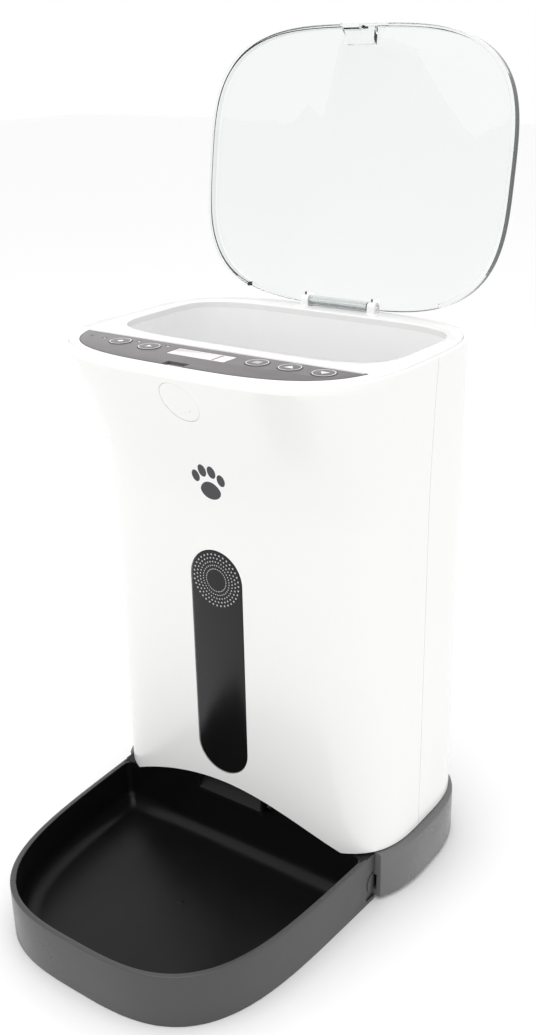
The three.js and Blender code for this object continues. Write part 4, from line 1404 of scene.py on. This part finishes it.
# ---------------------------------------------------------------- tray
@dataclass
class Tray:
    """The feeding tray: a basin with a soft fillet, its arched rear wall, and the two latches."""

    bench: Bench
    casing: Casing
    half_width: float = 89.5
    front: float = -199.0
    side_power: float = 3.1
    front_power: float = 4.8
    taper: float = 0.08
    height: float = 31.5
    wall_y: float = -61.0
    outer_y: float = -58.2
    cheek_y: float = -51.9
    cheek_x: float = 80.0
    floor: float = 3.0
    fillet: float = 9.0
    rim: float = 3.0
    curve_points: int = 220
    corner_points: int = 9

    def outline(self, inset: float, rear: float, corner: float) -> list[Point2]:
        """The tray's outline, or the bowl's, always with the same number of points.

        The sides draw in towards a rounded front, and the rear is a straight line between rounded corners.

        Args:
            inset: how far the walls are inside the outer one.
            rear: the y of the straight rear line.
            corner: the radius of the rear corners.

        Returns:
            The outline, anticlockwise from the left rear corner.
        """
        depth = self.cheek_y - self.front

        def forward(angle: float) -> float:
            """How far towards the front a point is, from 0 to 1."""
            return abs(math.sin(angle)) ** (2 / self.front_power)

        def spot(angle: float) -> Point2:
            """The point at an angle, from pi at the left through the front."""
            share, c = forward(angle), math.cos(angle)
            reach = (self.half_width * (1 - self.taper * share) - inset) * abs(c) ** (2 / self.side_power)
            return math.copysign(reach, c), self.cheek_y - (depth - inset) * share

        cut = (self.cheek_y - (rear - corner)) / (depth - inset)
        lift = math.asin(max(cut, 0.0) ** (self.front_power / 2))
        start, end = math.pi + lift, 2 * math.pi - lift
        curve = [spot(lerp(start, end, i / self.curve_points)) for i in range(self.curve_points + 1)]
        side = curve[-1][0]
        right = []
        for i in range(1, self.corner_points + 1):
            a = math.pi / 2 * i / self.corner_points
            right.append((side - corner * (1 - math.cos(a)), rear - corner * (1 - math.sin(a))))
        return [*curve, *right, *[(-x, y) for x, y in reversed(right)]]

    def basin(self) -> bpy.types.Object:
        """The basin with its rounded rim and the fillet round its floor.

        Returns:
            The blank.
        """
        top = self.height
        rings: list[Ring] = []
        for inset, z in ((0.5, 0.0), (0.12, 0.2), (0.0, 0.6), (0.0, top - 0.9), (0.08, top - 0.5),
                         (0.3, top - 0.18), (0.8, top)):
            rings.append(level(self.outline(inset, self.outer_y, 0.3), z))
        rim, steps = self.rim, 10
        inner = [(rim - 0.9, top), (rim - 0.35, top - 0.15), (rim - 0.1, top - 0.45), (rim, top - 0.9)]
        for i in range(steps + 1):
            a = math.pi / 2 * i / steps
            inner.append((rim + 0.3 + self.fillet * (1 - math.cos(a)),
                          self.floor + self.fillet * (1 - math.sin(a))))
        for inset, z in inner:
            deep = max(inset - rim, 0.0)
            rings.append(level(self.outline(inset, self.wall_y - deep, 4.0), z))
        return self.bench.loft("basin", rings)

    def body(self) -> None:
        """Builds the tray: the basin, ears, arched wall, the chute's notch and the latches' pockets."""
        bench, tray = self.bench, self.basin()
        ears = []
        for side in (-1, 1):
            out = self.half_width
            corners = [(side * self.cheek_x, self.outer_y - 1.5), (side * (out - 0.45), self.outer_y - 1.5),
                       (side * out, self.cheek_y - 0.3), (side * (out - 0.3), self.cheek_y),
                       (side * self.cheek_x, self.cheek_y)]
            ears.append(bench.pull("ear", corners[::side], Axis.Z, 0.3, self.height))
        wall = bench.pull("wall", self.casing.arch(-1, 20), Axis.Y, self.wall_y, self.outer_y)
        bench.work(tray, Join.ADD, *ears, wall)
        bench.work(tray, Join.CUT,
                   bench.box((-25, 25), (-64, -50), (37, 70)),
                   *[bench.box(x, (-60.2, -51), (2.6, 19.9)) for x in ((83.4, 95), (-95, -83.4))])
        gate = [(0, 2.5), (1.9, 2.5), (1.9, 3.1), (1.5, 3.22), (0, 3.16)]
        bench.work(tray, Join.ADD, bench.turn("gate", gate, Axis.Z, (3, -119), 32))
        limit = self.outline(self.rim - 0.5, self.wall_y + 0.5, 4.0)
        # The bowl's lining and the front of its rear wall get the near-black painted shade.
        bench.dress(tray, TRAY_ABS.material(), TRAY_PAINTED_SHADE.material(), lambda face: self.in_painted_shade_bowl(face, limit))
        bench.finish(tray, "tray_basin", "tray", None, ["feeding_tray"], "grey_abs", smooth=28)

    def in_painted_shade_bowl(self, face: bpy.types.MeshPolygon, limit: list[Point2]) -> bool:
        """Whether a face lines the bowl or the front of its rear wall, which are painted near black as
        painted shade.

        Args:
            face: the face, in millimetres.
            limit: the bowl's outline at the rim.

        Returns:
            True for an inner face.
        """
        x, y, z = face.center
        if z < self.floor - 0.4 or z > self.height - 0.3 and y < self.wall_y - 1:
            return False
        if z >= self.height - 0.3:
            return True
        inside = False
        for (ax, ay), (bx, by) in zip(limit, [*limit[1:], limit[0]]):
            if (ay > y) != (by > y) and x < ax + (y - ay) / (by - ay) * (bx - ax):
                inside = not inside
        return inside

    def latches(self) -> None:
        """Builds the two side latches, each a tab with a half-round pad to press."""
        bench = self.bench
        for side, name in ((1, "tray_latch_right"), (-1, "tray_latch_left")):
            tab = bench.box((86.6, 88.4), (-59.8, -52.3), (3, 19.5))
            half = [(-52.3 + 6.6 * math.cos(a), 12 + 6.6 * math.sin(a))
                    for a in (math.pi / 2 + math.pi * i / 40 for i in range(41))]
            pad = bench.pull("pad", half, Axis.X, 86, 89.2)
            bench.work(tab, Join.ADD, pad, bench.box((86.6, 88.2), (-54, -49.2), (8, 15)))
            bench.soften(tab, 0.35, segments=3)
            if side < 0:
                bench.move(tab, Matrix.Scale(-1, 4, (1, 0, 0)))
                tab.data.flip_normals()
            body = name.replace("tray_", "")
            bench.finish(tab, f"{name}_pad", body, TRAY_ABS.material(), [name], "grey_abs")

    def build(self) -> None:
        """Builds every piece of the tray."""
        self.body()
        self.latches()


# ---------------------------------------------------------------- feeding parts
@dataclass
class Works:
    """The hopper and what meters, drops and powers the food's way down."""

    bench: Bench
    wall: float = 1.8
    throat_radius: float = 42.0
    rotor_y: float = -6.0

    def inner_wall(self, z: float, shoulder: float, top: float) -> float:
        """The hopper wall's thickness at a height, thinner at the mouth to meet the frame's opening."""
        return lerp(self.wall, 1.5, max(z - shoulder, 0) / (top - shoulder))

    def hopper(self) -> None:
        """Builds the hopper: straight walls that funnel to a round throat."""
        mouth, radius = MOUTH, self.throat_radius
        throat = Plan(radius, self.rotor_y - radius, self.rotor_y + radius, 2)
        shoulder, neck, top, bottom = 178.0, 116.3, 304.75, 112.3

        def outline(z: float) -> Plan:
            """The outline at a height."""
            if z >= shoulder:
                share = (z - shoulder) / (top - shoulder)
                return replace(mouth, half_width=lerp(86.5, 88, share))
            share = max(z - neck, 0) / (shoulder - neck)
            return Plan(lerp(throat.half_width, 86.5, share), lerp(throat.front, mouth.front, share),
                        lerp(throat.back, mouth.back, share), lerp(2.0, 4.5, share))

        heights = [bottom, neck, *[lerp(neck, shoulder, i / 12) for i in range(1, 13)], 240.0, top]
        rings = [level(outline(z).points(240), z) for z in heights]
        rings += [level(outline(z).inset(self.inner_wall(z, shoulder, top)).points(240), z)
                  for z in reversed(heights)]
        body = self.bench.loft("hopper_body", rings, tube=True)
        # The hopper's walls are painted lighter than the shell's white, as painted light in its shaded
        # inside.
        self.bench.finish(body, "hopper_funnel", "housing", WHITE_INNER_PAINTED_LIGHT.material(), ["hopper"], "white_abs")

    def copies(self) -> None:
        """Rounds the edges of the working parts and gives each its own finish."""
        parts: list[tuple[str, str, str, Surface, str, float]] = [
            ("rotor_housing", "metering_cup", "housing", NYLON, "nylon", 0.3),
            ("feed_rotor", "paddle_rotor", "rotor", NYLON, "nylon", 0.3),
            ("rotor_shaft", "rotor_spindle", "rotor", STEEL, "steel", 0.2),
            ("drive_gear", "drive_wheel", "rotor", NYLON, "nylon", 0.12),
            ("idler_gear", "idler_wheel", "idler", NYLON, "nylon", 0.12),
            ("motor_pinion", "pinion_wheel", "pinion", BRASS, "brass", 0.1),
            ("idler_axle", "idler_spindle", "housing", STEEL, "steel", 0.2),
            ("feed_motor", "motor_can", "housing", STEEL, "steel", 0.3),
            ("gear_plate", "gear_deck", "housing", BLACK_PLASTIC, "black_plastic", 0.3),
            # The chute is painted near black as painted shade under the arch.
            ("chute", "food_chute", "housing", TRAY_PAINTED_SHADE, "grey_abs", 0.25),
            ("drop_sensor_emitter", "drop_eye_left", "housing", BLACK_PLASTIC, "black_plastic", 0.3),
            ("drop_sensor_receiver", "drop_eye_right", "housing", BLACK_PLASTIC, "black_plastic", 0.3),
            ("latch_bracket", "latch_bridge", "housing", BLACK_PLASTIC, "black_plastic", 0.2),
            ("lcd_module", "display_module", "housing", BLACK_PLASTIC, "black_plastic", 0.2),
            ("microphone", "microphone_can", "housing", BLACK_PLASTIC, "black_plastic", 0.2),
            ("speaker", "speaker_can", "housing", BLACK_PLASTIC, "black_plastic", 0.3),
            ("control_board", "control_circuit", "housing", BOARD, "circuit_board", 0.1),
            ("power_board", "power_circuit", "housing", BOARD, "circuit_board", 0.1),
            ("battery_case", "battery_bay", "housing", BLACK_PLASTIC, "black_plastic", 0.3),
            ("battery_contact", "contact_strip", "housing", BRASS, "brass", 0.1),
            ("battery_1", "cell_1", "housing", CELL_WRAP, "cell_wrap", 0.3),
            ("battery_2", "cell_2", "housing", CELL_WRAP, "cell_wrap", 0.3),
            ("battery_3", "cell_3", "housing", CELL_WRAP, "cell_wrap", 0.3),
        ]
        for source, name, body, finish, slot, width in parts:
            self.bench.refined(source, name, body, finish, slot, width)

    def build(self) -> None:
        """Builds every working part."""
        self.hopper()
        self.copies()


# ---------------------------------------------------------------- repeated parts
class Repeats:
    """What repeats: grille dots, screws and coil springs, each laid out by a Geometry Nodes tree."""

    def __init__(self, bench: Bench, casing: Casing, base: Base) -> None:
        """Keeps the bench and the places that the repeats follow."""
        self.bench, self.casing, self.base = bench, casing, base

    def tree(
        self, name: str, inputs: dict[str, tuple[str, float]]
    ) -> tuple[bpy.types.NodeTree, bpy.types.Node]:
        """A new Geometry Nodes tree with named inputs.

        Args:
            name: the tree's name.
            inputs: each input's name, with its socket type and default.

        Returns:
            The tree and its input node.
        """
        made = bpy.data.node_groups.new(name, "GeometryNodeTree")
        made.interface.new_socket("Geometry", in_out="INPUT", socket_type="NodeSocketGeometry")
        made.interface.new_socket("Geometry", in_out="OUTPUT", socket_type="NodeSocketGeometry")
        for label, (kind, value) in inputs.items():
            socket = made.interface.new_socket(label, in_out="INPUT", socket_type=kind)
            socket.default_value = value
        return made, made.nodes.new("NodeGroupInput")

    def close(
        self, tree: bpy.types.NodeTree, geometry: bpy.types.NodeSocket, material: bpy.types.Material
    ) -> None:
        """Ends a tree: instances made real, and the material set.

        Args:
            tree: the tree.
            geometry: what it has made.
            material: the material.
        """
        real = node(tree, "GeometryNodeRealizeInstances", links={"Geometry": geometry})
        dressed = node(tree, "GeometryNodeSetMaterial", links={"Geometry": real.outputs[0]})
        dressed.inputs["Material"].default_value = material
        out = tree.nodes.new("NodeGroupOutput")
        tree.links.new(dressed.outputs[0], out.inputs[0])

    def grow(
        self,
        name: str,
        tree: bpy.types.NodeTree,
        values: dict[str, float],
        source: bpy.types.Object | None = None,
    ) -> bpy.types.Object:
        """Runs a tree on an object and keeps the result as a plain mesh.

        Args:
            name: the new object's name.
            tree: the tree.
            values: what its inputs are set to, by name.
            source: the mesh that it works on, or None for an empty one.

        Returns:
            The blank, in millimetres.
        """
        made = source or self.bench.blank(name, [(0, 0, 0)], [])
        step = made.modifiers.new("layout", "NODES")
        step.node_group = tree
        for item in tree.interface.items_tree:
            if item.in_out == "INPUT" and item.name in values:
                step[item.identifier] = values[item.name]
        made.update_tag()
        return self.bench.settle(made)

    def grille(self) -> None:
        """Lays the speaker's dots in rings about the window's upper centre, each ring a half step round."""
        tree, source = self.tree("grille dots", {
            "Rings": ("NodeSocketInt", 5), "Dots per ring": ("NodeSocketInt", 36),
            "First radius": ("NodeSocketFloat", 6.6), "Ring step": ("NodeSocketFloat", 2.1),
            "Dot radius": ("NodeSocketFloat", 0.42), "Growth": ("NodeSocketFloat", 0.25),
        })
        slots = source.outputs
        per_ring = slots["Dots per ring"]
        total = maths(tree, "MULTIPLY", slots["Rings"], per_ring)
        points = node(tree, "GeometryNodePoints", links={"Count": total})
        index = node(tree, "GeometryNodeInputIndex").outputs[0]
        ring = maths(tree, "FLOOR", maths(tree, "DIVIDE", index, per_ring))
        place = maths(tree, "ADD", index, maths(tree, "MULTIPLY", ring, 0.5))
        angle = maths(tree, "MULTIPLY", maths(tree, "DIVIDE", place, per_ring), 2 * math.pi)
        radius = maths(tree, "MULTIPLY_ADD", ring, slots["Ring step"], slots["First radius"])
        x, z = (maths(tree, "MULTIPLY", maths(tree, part, angle), radius) for part in ("COSINE", "SINE"))
        spot = node(tree, "ShaderNodeCombineXYZ", links={"X": x, "Z": z}).outputs[0]
        laid = node(tree, "GeometryNodeSetPosition", links={"Geometry": points.outputs[0], "Position": spot})
        dot = node(tree, "GeometryNodeMeshCylinder", {"fill_type": "NGON"}, {
            "Vertices": 12, "Depth": 0.1,
        }, {"Radius": slots["Dot radius"]})
        tipped = node(tree, "GeometryNodeTransform", values={"Rotation": (math.pi / 2, 0, 0)}, links={
            "Geometry": dot.outputs["Mesh"],
        })
        size = maths(tree, "MULTIPLY_ADD", ring, slots["Growth"], 0.75)
        spread = node(tree, "GeometryNodeInstanceOnPoints", links={
            "Points": laid.outputs[0], "Instance": tipped.outputs[0], "Scale": size,
        })
        self.close(tree, spread.outputs[0], GRILLE_INK.material())
        dots = self.grow("grille", tree, {"Rings": 5, "Dots per ring": 36, "Growth": 0.12})
        self.bench.move(dots, Matrix.Translation((0, TOWER_FRONT, self.casing.window_top)))
        self.bench.finish(dots, "speaker_grille", "housing", None)

    def screw(self) -> bpy.types.Object:
        """One pan-head screw with a cross recess, its head down, about the origin.

        Returns:
            The blank.
        """
        bench = self.bench
        profile = [(0, 2.6), (1.6, 2.62), (2.6, 2.8), (3.15, 3.15),
                   (3.2, 3.6), (1.5, 3.65), (1.5, 17), (0, 18)]
        body = bench.turn("screw", profile, Axis.Z, (0, 0), 48)
        long, short, depth = (-1.7, 1.7), (-0.32, 0.32), (2.0, 3.2)
        cross = [bench.box(long, short, depth), bench.box(short, long, depth)]
        return bench.work(body, Join.CUT, *cross)

    def base_screws(self) -> None:
        """Sets a screw in each hole of the base."""
        tree, source = self.tree("screws in their holes", {})
        pattern = self.screw()
        info = node(tree, "GeometryNodeObjectInfo", {"transform_space": "ORIGINAL"})
        info.inputs["Object"].default_value = pattern
        spread = node(tree, "GeometryNodeInstanceOnPoints", links={
            "Points": source.outputs[0], "Instance": info.outputs["Geometry"],
        })
        self.close(tree, spread.outputs[0], STEEL.material())
        holes = self.bench.blank("holes", [(x, y, 0) for x, y in self.base.screws], [])
        screws = self.grow("screws", tree, {}, holes)
        self.bench.scrap(pattern)
        nodes = [f"base_screw_{i + 1}" for i in range(len(self.base.screws))]
        self.bench.finish(screws, "base_screw_set", "housing", None, nodes, "steel")

    def coil_tree(self) -> bpy.types.NodeTree:
        """The tree that winds a wire into a coil along Z.

        Returns:
            The tree.
        """
        tree, source = self.tree("wound coil", {
            "Turns": ("NodeSocketFloat", 5.0), "Start radius": ("NodeSocketFloat", 3.6),
            "End radius": ("NodeSocketFloat", 3.6), "Height": ("NodeSocketFloat", 6.0),
            "Wire": ("NodeSocketFloat", 0.3),
        })
        slots = source.outputs
        path = node(tree, "GeometryNodeCurveSpiral", values={"Resolution": 28}, links={
            "Rotations": slots["Turns"], "Start Radius": slots["Start radius"],
            "End Radius": slots["End radius"], "Height": slots["Height"],
        })
        section = node(tree, "GeometryNodeCurvePrimitiveCircle", values={"Resolution": 10}, links={
            "Radius": slots["Wire"],
        })
        wire = node(tree, "GeometryNodeCurveToMesh", values={"Fill Caps": True}, links={
            "Curve": path.outputs[0], "Profile Curve": section.outputs[0],
        })
        self.close(tree, wire.outputs[0], SPRING_STEEL.material())
        return tree

    def springs(self) -> None:
        """Winds the button's spring and the three cells' springs."""
        tree = self.coil_tree()
        lie = Matrix.Rotation(math.radians(-90), 4, "X")
        coil = self.grow("coil", tree, {
            "Turns": 5.0, "Start radius": 3.6, "End radius": 3.6, "Height": 6.5, "Wire": 0.28,
        })
        start, end = -86.2, -79.3
        self.bench.move(coil, Matrix.Translation((0, start + 0.3, self.casing.button_z)) @ lie)
        piece = self.bench.finish(coil, "button_spring", "housing", None, ["release_spring"], "steel")
        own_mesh(piece)
        for i, x in enumerate((-35.5, 0, 35.5), start=1):
            coil = self.grow("coil", tree, {
                "Turns": 2.5, "Start radius": 7.2, "End radius": 2.8, "Height": 2.0, "Wire": 0.35,
            })
            self.bench.move(coil, Matrix.Translation((x, 44.9, 24.4)) @ lie @ Matrix.Scale(-1, 4, (0, 0, 1)))
            coil.data.flip_normals()
            self.bench.finish(coil, f"cell_spring_{i}", "housing", None, [f"battery_spring_{i}"], "steel")

    def build(self) -> None:
        """Builds everything that repeats."""
        self.grille()
        self.base_screws()
        self.springs()


# ---------------------------------------------------------------- studio
@dataclass
class Studio:
    """The pale floor, the soft lights and the camera."""

    bench: Bench
    azimuth: float = 36.156
    pitch: float = 22.171
    roll: float = -1.251
    place: Point3 = (356.72, -511.79, 450.23)
    lens: float = 40.446
    sensor: float = 36.0

    def camera(self) -> None:
        """Stands the camera to the right of the front, looking down a little."""
        a, e, r = (math.radians(x) for x in (self.azimuth, self.pitch, self.roll))
        back = Vector((math.sin(a) * math.cos(e), -math.cos(a) * math.cos(e), math.sin(e)))
        right = (-back).cross(Vector((0, 0, 1))).normalized()
        up = right.cross(-back)
        right, up = math.cos(r) * right + math.sin(r) * up, -math.sin(r) * right + math.cos(r) * up
        data = bpy.data.cameras.new("camera")
        data.lens, data.sensor_width, data.clip_start, data.clip_end = self.lens, self.sensor, 0.01, 20
        camera = shown("camera", data)
        turn = Matrix((right, up, back)).transposed().to_4x4()
        stand = (Vector(self.place) + Vector((0, self.bench.shift, 0))) * MM
        camera.matrix_world = Matrix.Translation(stand) @ turn
        bpy.context.scene.camera = camera

    def floor(self) -> None:
        """Lays the pale floor."""
        mesh = bpy.data.meshes.new("floor")
        half = 6.0
        square = level([(-half, -half), (half, -half), (half, half), (-half, half)], 0)
        mesh.from_pydata(square, [], [(0, 1, 2, 3)])
        floor = shown("floor", mesh)
        mesh.materials.append(Finish("pale matt floor", "#fbfbfb", 0.6, 3.0, 0.001, shade=0.0).material())
        floor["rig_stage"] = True

    def softbox(self, name: str, place: Point3, aim: Point3, size: Point2, power: float) -> None:
        """Hangs one soft light.

        Args:
            name: the light's name.
            place: where it hangs, in metres.
            aim: what it looks at.
            size: its width and height.
            power: watts.
        """
        data = bpy.data.lights.new(name, "AREA")
        data.shape, data.size, data.size_y, data.energy = "RECTANGLE", size[0], size[1], power
        light = shown(name, data)
        light.location = place
        light.rotation_mode = "QUATERNION"
        light.rotation_quaternion = (Vector(aim) - Vector(place)).to_track_quat("-Z", "Y")

    def lights(self) -> None:
        """Lights the scene: a white surround and soft lights round it."""
        world = bpy.data.worlds.new("white surround")
        world.use_nodes = True
        world.node_tree.nodes["Background"].inputs["Color"].default_value = (1, 1, 1, 1)
        world.node_tree.nodes["Background"].inputs["Strength"].default_value = 1.0
        bpy.context.scene.world = world
        self.softbox("overhead", (0.0, -0.2, 1.6), (0, 0, 0.1), (1.0, 1.0), 6.0)
        self.softbox("left", (-1.3, -0.7, 0.9), (0, 0, 0.2), (0.9, 1.3), 0.8)
        self.softbox("fill", (1.0, -1.1, 0.7), (0, 0, 0.2), (0.8, 1.0), 0.2)
        view = bpy.context.scene.view_settings
        view.view_transform, view.look = "Standard", "None"

    def build(self) -> None:
        """Sets up the studio."""
        self.camera()
        self.floor()
        self.lights()


def corners() -> list[list[float]]:
    """The shown model's lowest and highest corner as plain numbers."""
    return [list(corner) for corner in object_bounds()]


def main() -> None:
    logging.basicConfig(level=logging.INFO, format="%(name)s: %(message)s", stream=sys.stdout)
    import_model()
    bench = Bench()
    Studio(bench).build()
    casing = Casing(bench)
    base = Base(bench, casing)
    casing.build()
    ControlPanel(bench).build()
    Lid(bench, casing).build()
    base.build()
    Tray(bench, casing).build()
    Works(bench).build()
    Repeats(bench, casing, base).build()


if __name__ == "__main__":
    main()
